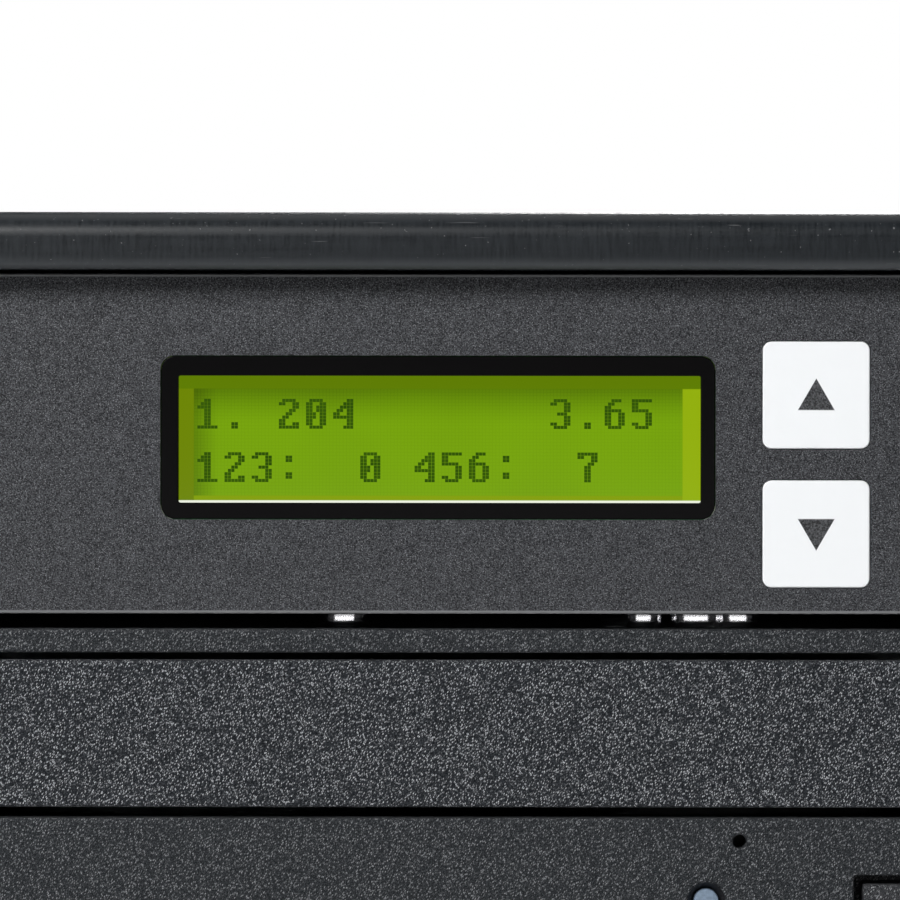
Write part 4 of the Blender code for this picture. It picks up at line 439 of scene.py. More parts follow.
# Each grained plastic: its hollows, its body, the colour of its painted glints and how many grains there are in a
# metre.
drivePlastic = sparklePlastic(
    "drive_plastic", (0.002, 0.003, 0.0042), (0.046, 0.050, 0.055), (0.40, 0.41, 0.43), 6700
)
trayPlastic = sparklePlastic(
    "tray_plastic", (0.001, 0.0016, 0.0028), (0.034, 0.038, 0.044), (0.80, 0.82, 0.86), 6600
)
ejectPlastic = sparklePlastic(
    "eject_plastic", (0.004, 0.005, 0.0062), (0.070, 0.072, 0.078), (0.50, 0.51, 0.53), 6000
)
facePlate = plainPlastic("face_plate", (0.52, 0.53, 0.55), 0.5)
satinBlack = satinFrame("satin_black", (0.0083, 0.0112, 0.0142), 0.40)
caseBlack = paintedSheet("case_black", (0.016, 0.016, 0.018))
blackPlastic = plainPlastic("black_plastic", (0.016, 0.016, 0.018), 0.45)
frameBlack = plainPlastic("frame_black", (0.0030, 0.0028, 0.0030), 0.2, 3000, 0.000002, 0.06)
greyPlastic = plainPlastic("grey_plastic", (0.07, 0.07, 0.075), 0.5)
zinc = zincSheet("zinc_sheet")
screwSteel = zincSheet("screw_steel", 0.26)
rubberBlack = rubber("rubber_black", (0.012, 0.012, 0.012))
board = circuitBoard("circuit_board")
lensClear = clearLens("lens_clear", linear(120, 137, 156))
chrome = brushedChrome("dome_chrome")
cableRed = plainPlastic("cable_red", (0.30, 0.012, 0.012), 0.4, 300)
cableBlack = plainPlastic("cable_black", (0.014, 0.014, 0.014), 0.5, 300)
print("stage: finishes")


# The front frame: a face with its openings, an outer skirt and a collar round the bays.
# In each dictionary, an outline is its width, height, corner radius, middle and steps.
frameSizes = {
    "outline": (0.190, 0.344, 0.005, (0, 0.180), 8),
    "inner": (0.184, 0.338, 0.002, (0, 0.180), 8),
    "bays": (0.1501, 0.2184, 0.0006, (0, 0.23575), 3),
    "collar": (0.1545, 0.2228, 0.0006, (0, 0.23575), 3),
    "vents": [(0.070, 0.0035, (0, 0.024 + 0.0085 * number)) for number in range(6)],
    "button": (0.0088, (0.052, 0.092), 48),
    "lamp": (0.00185, (0.030, 0.092), 24),
    "face": 0.0032,
    "round": 0.0031,
    "bayRound": 0.001,
    "deep": 0.015,
}


def frontFrame(sizes):
    outline, bays = roundRect(*sizes["outline"]), roundRect(*sizes["bays"])
    holes = [bays, *[longHole(*vent) for vent in sizes["vents"]], circle(*sizes["button"]), circle(*sizes["lamp"])]
    face = plate(outline, holes, sizes["face"], sizes["round"], sizes["bayRound"], 0, 8)
    rest = sizes["deep"] - sizes["face"]
    behind = [plate(outline, [roundRect(*sizes["inner"])], rest), plate(roundRect(*sizes["collar"]), [bays], rest)]
    back = (0, sizes["face"], 0)
    return moved(together([face] + [moved(shape, back) for shape in behind]), (0, frontY, 0))


piece("front_frame", frontFrame(frameSizes), "tower", satinBlack, ["front_bezel"])

# The controller's face
panelSizes = {
    "sheet": (0.1481, 0.0418, 0.0006, (0, 0.32355), 3),
    "film": 0.0005,
    "displayHole": (0.06856, 0.02026, 0.00178, (-0.0025, 0.3243), 8),
    "display": (0.0684, 0.0201, 0.0017, (-0.0025, 0.3243), 8),
    "frameDeep": 0.0014,
    "view": (0.0645, 0.0157, 0.0002, (-0.0023, 0.3241), 2),
    "glass": ((-0.0355, -0.1630, 0.31525), (0.0309, -0.1602, 0.33295)),
    "keyHole": (0.01342, 0.01342, 0.00118),
    "key": (0.01326, 0.01326, 0.0011),
    "keyDeep": 0.0048,
    "keyEdge": 0.00022,
}
keys = {
    "key_up": ((0.0442, 0.3296), "up"),
    "key_down": ((0.0442, 0.31245), "down"),
    "key_enter": ((0.0614, 0.3296), "right"),
    "key_escape": ((0.0614, 0.31245), "square"),
}


def panelSheet(sizes):
    holes = [roundRect(*sizes["keyHole"], place) for place, mark in keys.values()]
    holes.append(roundRect(*sizes["displayHole"]))
    return moved(plate(roundRect(*sizes["sheet"]), holes, sizes["film"], 0.00012, 0.00003, 0, 3), (0, faceY, 0))


def displayFrame(sizes):
    outline, view = roundRect(*sizes["display"]), roundRect(*sizes["view"])
    return moved(plate(outline, [view], sizes["frameDeep"], 0.0001, 0.00012, 0, 3), (0, faceY, 0))


def keyCap(place, sizes):
    cap = plate(roundRect(*sizes["key"], place, 8), (), sizes["keyDeep"], sizes["keyEdge"])
    return moved(cap, (0, faceY, 0))


def keyFinish(name, place, mark):
    # White with a mark that lets the panel's speckle show: a triangle up, down or right, or a square.
    made = Finish("white_" + name, Roughness=0.35)
    x, y, z = made.at.axes()
    across = x - place[0]
    up = z - place[1]
    if mark == "down":
        up = up * -1
    if mark == "right":
        across, up = up, across
    soft = 0.00006
    if mark == "square":
        edge = across.size().most(up.size()) - 0.0018
    else:
        # The triangle is 3.9 mm high and its base is 4.5 mm wide.
        slope = across.size() * 1.72 + up - 0.00205
        edge = slope.most(up * -1 - 0.00185)
    inside = edge.between(soft, -soft)
    fleck = made.at.noise(5000, 1.0).between(0.34, 0.72).blend((0.002, 0.0025, 0.0035), (0.112, 0.115, 0.123))
    made.set(Base_Color=inside.blend((0.955, 0.975, 0.99), fleck))
    return made.material


piece("panel_sheet", panelSheet(panelSizes), "tower", panelFilm, ["panel_overlay"])
piece("display_frame", displayFrame(panelSizes), "tower", frameBlack, ["lcd_frame"])
for name, (place, mark) in keys.items():
    white = keyFinish(name, place, mark)
    piece(name + "_cap", keyCap(place, panelSizes), name, white, [name])


displaySizes = {
    "left": -0.03272,  # the lit field inside its margins
    "right": 0.02776,
    "top": 0.33034,
    "low": 0.31712,
    "dotWide": 0.00042,
    "dotHigh": 0.000413,
    "dotSide": 0.00038,
    "dotFace": -0.16302,
    "cellWide": 8,  # in dots
    "cellHigh": 16,
    # the glowing line below the field, a painted highlight of the window's lower edge
    "lowEdgeHighlight": 0.31653,
    "rows": ("1. 204       3.65", "123:  0 456:  7"),
}


def displayGlass(name, sizes):
    # Lit yellow-green glass: a faint dot grid, darker at its top and left as painted shadow from the frame's edge,
    # inside paler margins.
    made = Finish(
        name, Base_Color=(0.001, 0.002, 0.0003), Roughness=0.1, Specular_IOR_Level=0.1, Emission_Strength=1.0
    )
    x, y, z = made.at.axes()
    left, right, top, low = sizes["left"], sizes["right"], sizes["top"], sizes["low"]
    column = ((x - left) / sizes["dotWide"]).share() - 0.5
    row = ((top - z) / sizes["dotHigh"]).share() - 0.5
    grid = column.size().most(row.size()).between(0.38, 0.5) * 0.14
    # Painted shadow: the field darkens towards its top and left edges, as if the frame's edge shaded it.
    topShadow = z.between(top - 0.0046, top) ** 1.4
    leftShadow = x.between(left + 0.0029, left)
    cloud = made.at.noise(90, 2.0).between(0.3, 0.7, -0.03, 0.03)
    level = (1 - topShadow * 0.45) * (1 - leftShadow * 0.38) - grid + cloud
    colour = level.blend((0, 0, 0), linear(119, 163, 19))
    soft = 0.00006
    line = sizes["lowEdgeHighlight"]
    # Paler margins round the field. The darker top margin is painted shadow from the frame's top edge. The glowing
    # white line near the bottom is a painted highlight of the window's lower edge.
    margins = (
        (z.between(low + soft, low - soft), linear(131, 158, 14)),
        (x.between(left + soft, left - soft), linear(109, 133, 12)),
        (x.between(right - soft, right + soft), linear(145, 174, 21)),
        (z.between(top - soft, top + soft), linear(95, 124, 10)),
        (z.between(line + soft / 2, line - soft / 2), linear(238, 243, 226)),
    )
    for inside, tone in margins:
        colour = inside.blend(colour, tone)
    made.set(Emission_Color=colour)
    return made.material


glassMade = displayGlass("display_green", displaySizes)
glass = block(*panelSizes["glass"], 0.00005, 1)
piece("display_glass", glass, "tower", glassMade, ["lcd_glass"])

digits = {
    "0": (".####.", "##..##", "##.###", "##.###", "###.##", "###.##", "##..##", "##..##", ".####."),
    "1": ("..##..", ".###..", "####..", "..##..", "..##..", "..##..", "..##..", "..##..", "######"),
    "2": (".####.", "##..##", "....##", "...##.", "..##..", ".##...", "##....", "##..##", "######"),
    "3": (".####.", "##..##", "....##", "....##", "..###.", "....##", "....##", "##..##", ".####."),
    "4": ("....##", "...###", "..####", ".##.##", "##..##", "######", "....##", "....##", "...###"),
    "5": ("######", "##....", "##....", "#####.", "....##", "....##", "....##", "##..##", ".####."),
    "6": ("..###.", ".##...", "##....", "#####.", "##..##", "##..##", "##..##", "##..##", ".####."),
    "7": ("######", "##..##", "....##", "...##.", "..##..", "..##..", "..##..", "..##..", "..##.."),
    ":": ("......", "..##..", "..##..", "......", "......", "......", "..##..", "..##..", "......"),
    ".": ("......", "......", "......", "......", "......", "......", "......", "..##..", "..##.."),
}


def displayDots(sizes):
    # Each lit dot of the rows of numbers, as a thin square on the glass.
    shape = bmesh.new()
    flat = Matrix.Diagonal((sizes["dotSide"], 0.00004, sizes["dotSide"], 1))
    for number, text in enumerate(sizes["rows"]):
        for index, letter in enumerate(text):
            for down, line in enumerate(digits.get(letter, ())):
                for along, mark in enumerate(line):
                    if mark == "#":
                        x = sizes["left"] + sizes["dotWide"] * (index * sizes["cellWide"] + 1 + along + 0.5)
                        z = sizes["top"] - sizes["dotHigh"] * (number * sizes["cellHigh"] + 3 + down + 0.5)
                        place = Matrix.Translation((x, sizes["dotFace"], z)) @ flat
                        bmesh.ops.create_cube(shape, size=1, matrix=place)
    return shape


def dotFinish():
    made = Finish(
        "display_dots", Base_Color=(0, 0, 0), Roughness=0.6, Specular_IOR_Level=0.05, Emission_Strength=1.0
    )
    shade = made.at.noise(300, 1.0).between(0.3, 0.7)
    made.set(Emission_Color=shade.blend(linear(44, 76, 4), linear(56, 90, 6)))
    return made.material


piece("display_dots", displayDots(displaySizes), "tower", dotFinish())
print("stage: controller face")

# One drive's front, with its places from the middle of its lower front edge.
driveSizes = {
    "face": (0.1485, 0.0418, 0.0004, (0, 0.0209), 3),
    "deep": 0.006,
    "mouth": (0.1352, 0.0204, 0.0005, (0, 0.0287), 4),
    "tray": (0.1336, 0.0182, 0.0004, (0, 0.0289), 4),
    "trayDeep": 0.0045,
    "slot": (0.0155, 0.0083, 0.0004, (0.05665, 0.0073), 4),
    "cap": (0.0131, 0.0060, 0.0005, (0.05665, 0.0073), 5),
    "capBack": (0.0167, 0.0095, 0.0004, (0.05665, 0.0073), 3),
    "pin": (0.00083, (0.0348, 0.0156), 24),
    "lamp": (0.00235, (0.0307, 0.0082), 40),
    "lens": (  # radius and height; it stands out of the bezel towards the front
        (0, 0), (0.00155, 0), (0.00155, 0.0056), (0.00150, 0.00582), (0.00138, 0.00592), (0.0009, 0.00596), (0, 0.006)
    ),
    "lensFoot": 0.0062,
    "bowl": (
        (0, 0), (0.00236, 0), (0.00236, 0.0055), (0.00232, 0.0056), (0.00205, 0.0052), (0.00175, 0.0046),
        (0.0016, 0.0040), (0.0016, 0.0005), (0, 0.0005),
    ),
    "bowlFoot": 0.0060,
    "caseTop": 0.04155,
    "studBack": 0.0163,
    "stud": (
        (0, -0.0003), (0.0028, -0.0003), (0.0028, 0), (0.00245, 0.00018), (0.00228, 0.00042), (0.00219, 0.0006),
        (0.002198, 0.00085), (0.0022, 0.0011), (0.002198, 0.00135), (0.00219, 0.0016), (0.00209, 0.00174),
        (0.0018, 0.00184), (0.0012, 0.00189), (0, 0.0019),
    ),
    "studRadius": 0.0022,
    "studs": ((-0.0144, 0.0029), (0.0235, 0.0025), (0.0302, 0.0033), (0.0355, 0.0027)),  # place and half width
    "dome": 0.0198,
    "domeRadius": 0.00216,
    "domeHeight": 0.00116,
}


def driveFace(sizes):
    holes = [roundRect(*sizes["mouth"]), roundRect(*sizes["slot"]), circle(*sizes["pin"]), circle(*sizes["lamp"])]
    return plate(roundRect(*sizes["face"]), holes, sizes["deep"], 0.0004, 0.00028)


def lampPart(sizes, name, steps):
    # The lens, or the dark hollow round it, whose wall slopes in from the bezel's face.
    x, z = sizes["lamp"][1]
    return moved(turnedTo(turned(sizes[name], steps), lying["-Y"]), (x, sizes[name + "Foot"], z))


def trayFace(sizes):
    return plate(roundRect(*sizes["tray"]), (), sizes["trayDeep"], 0.0004, 0, 0.0002, 4)


def ejectCap(sizes):
    cap = plate(roundRect(*sizes["cap"]), (), 0.0063, 0.0004, 0, 0, 4)
    wide = plate(roundRect(*sizes["capBack"]), (), 0.0007, 0.0001, 0, 0, 2)
    return together([cap, moved(wide, (0, 0.0064, 0))])


def stud(sizes, x, wide):
    # A polished oval stud, flared at its foot, with a slightly barrelled wall and a rounded top.
    shape = turned(sizes["stud"], 64)
    bmesh.ops.scale(shape, vec=(wide / sizes["studRadius"], 1, 1), verts=shape.verts)
    return moved(shape, (x, sizes["studBack"], sizes["caseTop"]))


def lowDome(sizes):
    radius, height = sizes["domeRadius"], sizes["domeHeight"]
    profile = [(0, -0.0003), (radius, -0.0003)]
    profile += [(radius * math.cos(0.157 * step), height * math.sin(0.157 * step)) for step in range(10)]
    profile.append((0, height))
    return moved(turned(profile, 40), (sizes["dome"], sizes["studBack"], sizes["caseTop"]))


for number, low in enumerate(driveLows, 1):
    studs = together([stud(driveSizes, x, wide) for x, wide in driveSizes["studs"]])
    for name, shape, body, material, slot, replaced in (
        ("drive_face", driveFace(driveSizes), "tower", drivePlastic, "drive_plastic", "drive_bezel"),
        ("drive_lens", lampPart(driveSizes, "lens", 40), "tower", lensClear, "lamp_lens", ""),
        ("lamp_bowl", lampPart(driveSizes, "bowl", 48), "tower", blackPlastic, "drive_plastic", ""),
        ("tray_face", trayFace(driveSizes), f"tray_{number}", trayPlastic, "drive_plastic", "tray_front"),
        ("eject_cap", ejectCap(driveSizes), f"eject_{number}", ejectPlastic, "drive_plastic", "eject_button"),
        ("case_studs", studs, "tower", chrome, "zinc_sheet", ""),
        ("case_dome", lowDome(driveSizes), "tower", zinc, "zinc_sheet", ""),
    ):
        nodes = [f"{replaced}_{number}"] if replaced else ()
        piece(f"{name}_{number}", moved(shape, (0, faceY, low)), body, material, nodes)
print("stage: drive fronts")


def bend(radius, first, last, middle, steps=5):
    # Points of an arc between two angles in degrees.
    found = []
    for step in range(steps + 1):
        angle = math.radians(first + (last - first) * step / steps)
        found.append((middle[0] + radius * math.cos(angle), middle[1] + radius * math.sin(angle)))
    return found


def arch(radius, across, up):
    # Two quarter turns from right to left, with their middles at that height.
    return bend(radius, 0, 90, (across, up)) + bend(radius, 90, 180, (-across, up))


def crossLine(corners):
    # The corners of one arm, repeated at four right angles.
    found = []
    for turn in range(4):
        angle = math.pi / 2 * turn
        for x, z in corners:
            found.append((x * math.cos(angle) - z * math.sin(angle), x * math.sin(angle) + z * math.cos(angle)))
    return fixedLine(found)


screwSizes = {"radius": 0.0034, "height": 0.0026, "crown": 0.72, "arm": 0.52, "slot": 0.13}


def screwHead(sizes):
    # A pan head with a cross recess; its top faces -Y at Y = 0.
    radius, height = sizes["radius"], sizes["height"]
    arm, wide = radius * sizes["arm"], radius * sizes["slot"]
    cross = crossLine(((wide, wide), (wide, arm), (-wide, arm)))
    top = plate(circle(radius, (0, 0), 28), [cross], height * 0.6)
    for vertex in top.verts:
        reach = math.hypot(vertex.co.x, vertex.co.z)
        if vertex.co.y < 0.0001 and reach > radius * 0.9:
            vertex.co.x *= sizes["crown"]
            vertex.co.z *= sizes["crown"]
    low = plate(circle(radius, (0, 0), 28), (), height * 0.42)
    return together([top, moved(low, (0, height * 0.58, 0))])


def screwRow(places, y):
    # Heads that face +Y with their tops at y.
    return together([moved(turnedTo(screwHead(screwSizes), facing["Y"]), (x, y, z)) for x, z in places])


boltReach = 0.03575  # from a fan's axis to each of its screws
boltPlaces = [(x, z) for x in (-boltReach, boltReach) for z in (-boltReach, boltReach)]
coverSizes = {
    "front": -0.1547,
    "rear": 0.1678,
    "side": 0.094,
    "low": 0.009,
    "roof": 0.348,
    "sheet": 0.0008,
    "lap": 0.0004,
    "fold": 0.003,
    "rimSide": 0.0812,
    "rimFold": 0.002,
    "rimTop": 0.343,
    "ventWidth": 0.045,
    "ventHeight": 0.004,
    "ventStep": 0.009,
    "ventY": 0.110,
    "ventGroups": (0.240, 0.060),
    "ventCount": 10,
    "screws": [(x, z) for x in (-0.088, 0.088) for z in (0.038, 0.1795, 0.321)],
    "screwTop": 0.170,
}


def coverShell(sizes):
    start, end = sizes["front"], sizes["rear"] - sizes["lap"]
    length, middle = end - start, (start + end) / 2
    side, low, roof, sheet = sizes["side"], sizes["low"], sizes["roof"], sizes["sheet"]
    shapes = []
    for name, sign in (("X", 1), ("-X", -1)):
        vents = []
        for group in sizes["ventGroups"]:
            for number in range(sizes["ventCount"]):
                up = group + (number - (sizes["ventCount"] - 1) / 2) * sizes["ventStep"]
                along = sign * (sizes["ventY"] - middle)
                vents.append(longHole(sizes["ventWidth"], sizes["ventHeight"], (along, up)))
        outline = roundRect(length, roof - low, 0.0001, (0, (roof + low) / 2), 2)
        wall = plate(outline, vents, sheet, 0, 0.0002, 0, 1)
        shapes.append(moved(turnedTo(wall, facing[name]), (sign * side, middle, 0)))
    across = side - sizes["fold"]
    outer = arch(sizes["fold"], across, roof)
    inner = arch(sizes["fold"] - sheet, across, roof)[::-1]
    shapes.append(moved(plate(fixedLine(outer + inner), (), length), (0, start, 0)))
    rimSide, rimFold = sizes["rimSide"], sizes["rimFold"]
    rim = [(side, low)] + outer + [(-side, low), (-rimSide, low)]
    rim += arch(rimFold, rimSide - rimFold, sizes["rimTop"])[::-1] + [(rimSide, low)]
    shapes.append(moved(turnedTo(plate(fixedLine(rim), (), sheet), facing["Y"]), (0, sizes["rear"], 0)))
    return together(shapes)


piece("cover_shell", coverShell(coverSizes), "tower", caseBlack, ["outer_cover"])
coverHeads = screwRow(coverSizes["screws"], coverSizes["screwTop"])
piece("cover_screws", coverHeads, "tower", screwSteel)

grilleSizes = {"rings": 4, "near": 0.0155, "step": 0.006, "slot": 0.003, "spokes": 4, "halfSpoke": 0.0015}


def grilleHoles(sizes, middle):
    # Rings of slots between the spokes, for the two fans.
    holes = []
    quarter = math.tau / sizes["spokes"]
    for ring in range(sizes["rings"]):
        near = sizes["near"] + sizes["step"] * ring
        for spoke in range(sizes["spokes"]):
            points = []
            for radius, order in ((near + sizes["slot"], range(13)), (near, range(12, -1, -1))):
                trim = sizes["halfSpoke"] / radius
                for step in order:
                    angle = quarter * (spoke + 0.5) + trim + (quarter - 2 * trim) * step / 12
                    points.append((middle[0] + radius * math.cos(angle), middle[1] + radius * math.sin(angle)))
            holes.append(fixedLine(points))
    return holes


rearSizes = {
    "right": ((0.0916, 0.0096), (0.0916, 0.0226), (0.0929, 0.0226), (0.0929, 0.3499)),  # its right edge, upwards
    "notch": ((0.072, 0.0806), (0.060, 0.0806), (0.060, 0.0926)),  # the supply's window at its top right
    "windowSum": 0.1052,  # the window's top and bottom heights together
    "sheet": 0.001,
    "back": 0.1667,
    "fan": (0, 0.175),
    "screwTop": 0.1689,
    "supplyScrews": [(x, z) for x in (-0.069, 0.069) for z in (0.0156, 0.0896)],
}


def rearPanel(sizes):
    right, corner = list(sizes["right"]), list(sizes["notch"])
    outline = fixedLine(right + [(-x, z) for x, z in reversed(right)])
    top = corner + [(-x, z) for x, z in reversed(corner)]
    window = fixedLine(top + [(x, sizes["windowSum"] - z) for x, z in reversed(top)])
    panel = plate(outline, [window, *grilleHoles(grilleSizes, sizes["fan"])], sizes["sheet"])
    return moved(turnedTo(panel, facing["Y"]), (0, sizes["back"], 0))


piece("rear_sheet", rearPanel(rearSizes), "tower", caseBlack, ["rear_panel"])
rearPlaces = [(x, rearSizes["fan"][1] + z) for x, z in boltPlaces] + rearSizes["supplyScrews"]
piece("rear_screws", screwRow(rearPlaces, rearSizes["screwTop"]), "tower", screwSteel)

fanSizes = {
    "side": 0.080,
    "round": 0.004,
    "bore": 0.0375,
    "bolt": 0.0021,
    "deep": 0.025,
    "edge": 0.0006,
    "strut": 0.0025,
    "strutReach": 0.040,
    "strutDeep": 0.0022,
    "motor": ((0, 0), (0.0150, 0), (0.0155, 0.0005), (0.0155, 0.003), (0.0015, 0.003), (0.0015, 0.015), (0, 0.015)),
    "hub": (
        (0, 0.0153), (0.0018, 0.0153), (0.0018, 0.0033), (0.0150, 0.0033), (0.0152, 0.0037), (0.0152, 0.0197),
        (0.0147, 0.0208), (0.0136, 0.0213), (0.0100, 0.0213), (0.0096, 0.0209), (0, 0.0209),
    ),
    "blades": 7,
    "bladeNear": 0.0148,
    "bladeFar": 0.0359,
    "bladeMiddle": 0.0123,
    "bladeRise": 0.0152,
    "bladeSweep": 0.0135,
    "bladeCurve": 0.0022,
    "bladeThick": 0.0016,
}


def fanFrame(sizes):
    # The inner face is at Y = 0 and the frame runs along +Y.
    holes = [circle(sizes["bore"], (0, 0), 64)] + [circle(sizes["bolt"], place, 16) for place in boltPlaces]
    outline = roundRect(sizes["side"], sizes["side"], sizes["round"])
    body = plate(outline, holes, sizes["deep"], sizes["edge"], sizes["edge"], 0, 3)
    half, reach = sizes["strut"], sizes["strutReach"]
    cross = crossLine(((half, half), (half, reach), (-half, reach)))
    struts = moved(plate(cross, (), sizes["strutDeep"]), (0, 0.0004, 0))
    return together([body, struts, turnedTo(turned(sizes["motor"], 48), lying["Y"])])


def fanBlade(sizes, number):
    # One curved blade: two grids of points, closed round their edges.
    blade = bmesh.new()
    count = 8
    grid = []
    for face in (0, 1):
        rows = []
        for out in range(count + 1):
            radius = sizes["bladeNear"] + (sizes["bladeFar"] - sizes["bladeNear"]) * out / count
            row = []
            for along in range(count + 1):
                share = along / count - 0.5
                thick = sizes["bladeThick"] * math.sqrt(max(1 - (2 * share) ** 2, 0.02)) * (0.5 - face)
                sweep = sizes["bladeSweep"] * share + sizes["bladeCurve"] * math.cos(math.pi * share) + thick
                angle = math.tau * number / sizes["blades"] + sweep / radius * 0.95 + 0.25 * (out / count) ** 2
                height = sizes["bladeMiddle"] + sizes["bladeRise"] * share
                row.append(blade.verts.new((radius * math.cos(angle), height, radius * math.sin(angle))))
            rows.append(row)
        grid.append(rows)
    pairs = [pair for rows in grid for pair in zip(rows, rows[1:])]
    for along in (0, count):
        pairs.append([[row[along] for row in rows] for rows in grid])
    for out in (0, count):
        pairs.append([rows[out] for rows in grid])
    for near, far in pairs:
        for index in range(count):
            blade.faces.new((near[index], near[index + 1], far[index + 1], far[index]))
    bmesh.ops.recalc_face_normals(blade, faces=blade.faces)
    return blade


def fanRotor(sizes):
    # A domed hub with curved blades, on the same axis and origin as its frame.
    hub = turnedTo(turned(sizes["hub"], 48), lying["Y"])
    return together([hub] + [fanBlade(sizes, number) for number in range(sizes["blades"])])


rearFan = (0, 0.1404, 0.175)
supplyFan = (-0.018, 0.1399, 0.0526)
rearHousing = moved(fanFrame(fanSizes), rearFan)
piece("rear_fan_housing", rearHousing, "tower", blackPlastic, ["rear_fan_frame"])
for name, body, replaced, place in (
    ("rear_fan_blades", "rear_rotor", "rear_fan_rotor", rearFan),
    ("supply_fan_blades", "psu_rotor", "psu_fan_rotor", supplyFan),
):
    piece(name, moved(fanRotor(fanSizes), place), body, blackPlastic, [replaced])

supplySizes = {
    "outline": (0.150, 0.086, 0.0003, (0, 0.0526), 2),
    "room": (0.148, 0.084, 0.0002, (0, 0.0526), 2),
    "inlet": (0.0306, 0.04585, 0.0002, (-0.050, 0.050475), 2),  # seen from behind, as the fan is
    "fan": (0.018, 0.0526),
    "slot": (0.004, 0.050, 0.0019),
    "slots": [(-0.030 + (number - 4) * 0.008, 0.0526) for number in range(9)],
    "cable": (0.020, 0.012, 0.0005, (0.018, 0.080), 2),
    "wall": 0.001,
    "rear": 0.1654,
    "front": 0.0254,
    "screwTop": 0.1676,
}


def supplyCase(sizes):
    outline, wall, front = roundRect(*sizes["outline"]), sizes["wall"], sizes["front"]
    rear = plate(outline, [roundRect(*sizes["inlet"]), *grilleHoles(grilleSizes, sizes["fan"])], wall)
    slots = [roundRect(*sizes["slot"], place) for place in sizes["slots"]] + [roundRect(*sizes["cable"])]
    sides = plate(outline, [roundRect(*sizes["room"])], sizes["rear"] - front - 2 * wall)
    shapes = [moved(turnedTo(rear, facing["Y"]), (0, sizes["rear"], 0))]
    shapes += [moved(plate(outline, slots, wall), (0, front, 0)), moved(sides, (0, front + wall, 0))]
    return together(shapes + [moved(fanFrame(fanSizes), supplyFan)])


piece("supply_shell", supplyCase(supplySizes), "tower", zinc, ["psu_case"])
supplyPlaces = [(supplyFan[0] + x, supplyFan[2] + z) for x, z in boltPlaces]
piece("supply_fan_screws", screwRow(supplyPlaces, supplySizes["screwTop"]), "tower", screwSteel)
print("stage: cover and rear")

traySizes = {
    "outline": (0.130, 0.146, 0.0015, (0, 0.0778), 4),
    "window": (0.040, 0.0765, 0.0008, (0, 0.08825), 3),
    "windowBack": 0.1265,
    "middle": 0.070,  # of the disc, from the bezel's face
    "largeWell": 0.0605,
    "largeDeep": 0.0022,
    "smallWell": 0.0405,
    "smallDeep": 0.0012,
    "baseDeep": 0.0041,
    "top": 0.0315,
}


def discTray(sizes):
    # Three layers: the large well, the small well joined to the window, and the window alone.
    outline, middle, wide = roundRect(*sizes["outline"]), (0, sizes["middle"]), sizes["window"][0] / 2
    turn = math.degrees(math.acos(wide / sizes["smallWell"]))
    around = [(wide, sizes["windowBack"]), (-wide, sizes["windowBack"])]
    around += bend(sizes["smallWell"], 180 - turn, 360 + turn, middle, 64)
    large, small = sizes["largeDeep"], sizes["smallDeep"]
    upper = plate(outline, [circle(sizes["largeWell"], middle, 96)], large, 0.0004, 0.0003, 0, 3)
    lower = moved(plate(outline, [fixedLine(around)], small), (0, large, 0))
    base = plate(outline, [roundRect(*sizes["window"])], sizes["baseDeep"], 0, 0, 0.0004, 3)
    return turnedTo(together([upper, lower, moved(base, (0, large + small, 0))]), facing["Z"])


for number, low in enumerate(driveLows, 1):
    tray = moved(discTray(traySizes), (0, faceY, low + traySizes["top"]))
    piece(f"tray_bed_{number}", tray, f"tray_{number}", greyPlastic, [f"disc_tray_{number}"])

powerSizes = {
    "cap": (  # radius and height up to the rounded rim
        (0, -0.0076), (0.002, -0.0076), (0.002, -0.0041), (0.0097, -0.0041), (0.0097, -0.0029), (0.0085, -0.0029),
        (0.0085, -0.0008),
    ),
    "rimRadius": 0.0077,
    "rim": 0.0008,
    "dish": ((0.0066, -0.00008), (0.0050, -0.0004), (0.0030, -0.0006), (0, -0.0007)),
    "place": (0.052, -0.1696, 0.092),
    "lensRadius": 0.00155,
    "lensDeep": 0.0075,
    "lensRim": 0.0004,
    "lensPlace": (0.030, -0.1697, 0.092),
}


def powerCap(sizes):
    rim = sizes["rim"]
    profile = list(sizes["cap"])
    for step in range(7):
        profile.append((sizes["rimRadius"] + rim * math.cos(0.262 * step), rim * math.sin(0.262 * step) - rim))
    return moved(turnedTo(turned(profile + list(sizes["dish"]), 64), lying["-Y"]), sizes["place"])


def powerJewel(sizes):
    radius, rim = sizes["lensRadius"], sizes["lensRim"]
    profile = [(0, -sizes["lensDeep"]), (radius, -sizes["lensDeep"]), (radius, -rim)]
    profile += [(radius * math.cos(0.196 * step), rim * math.sin(0.196 * step) - rim) for step in range(1, 8)]
    return moved(turnedTo(turned(profile + [(0, 0)], 32), lying["-Y"]), sizes["lensPlace"])


footSizes = {
    "profile": (
        (0, 0.002), (0.0041, 0.002), (0.0045, 0.0016), (0.0045, 0.0003), (0.0048, 0), (0.0082, 0), (0.0085, 0.0003),
        (0.0098, 0.0072), (0.0095, 0.008), (0.0025, 0.008), (0.0025, 0.0093), (0, 0.0093),
    ),
    "x": 0.073,
    "y": 0.140,
}
piece("power_cap", powerCap(powerSizes), "power_button", blackPlastic, ["power_button"])
piece("power_jewel", powerJewel(powerSizes), "tower", lensClear, ["power_lens"])
feet = {name: item for name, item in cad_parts.items() if name.startswith("foot_")}
for name, item in feet.items():
    middle = sum((vertex.co for vertex in item.data.vertices), Vector()) / len(item.data.vertices)
    place = (math.copysign(footSizes["x"], middle.x), math.copysign(footSizes["y"], middle.y), 0)
    foot = moved(turned(footSizes["profile"], 48), place)
    piece(name.replace("foot", "rubber_foot"), foot, "tower", rubberBlack, [name])

# Metal pins in the inlet, just over the moulded ones
pinSizes = {
    "half": (0.00106, 0.00206),
    "front": 0.1496,
    "back": 0.16125,
    "edge": 0.0004,
    "places": ((0.043, 0.0396), (0.057, 0.0396), (0.050, 0.0436)),
}


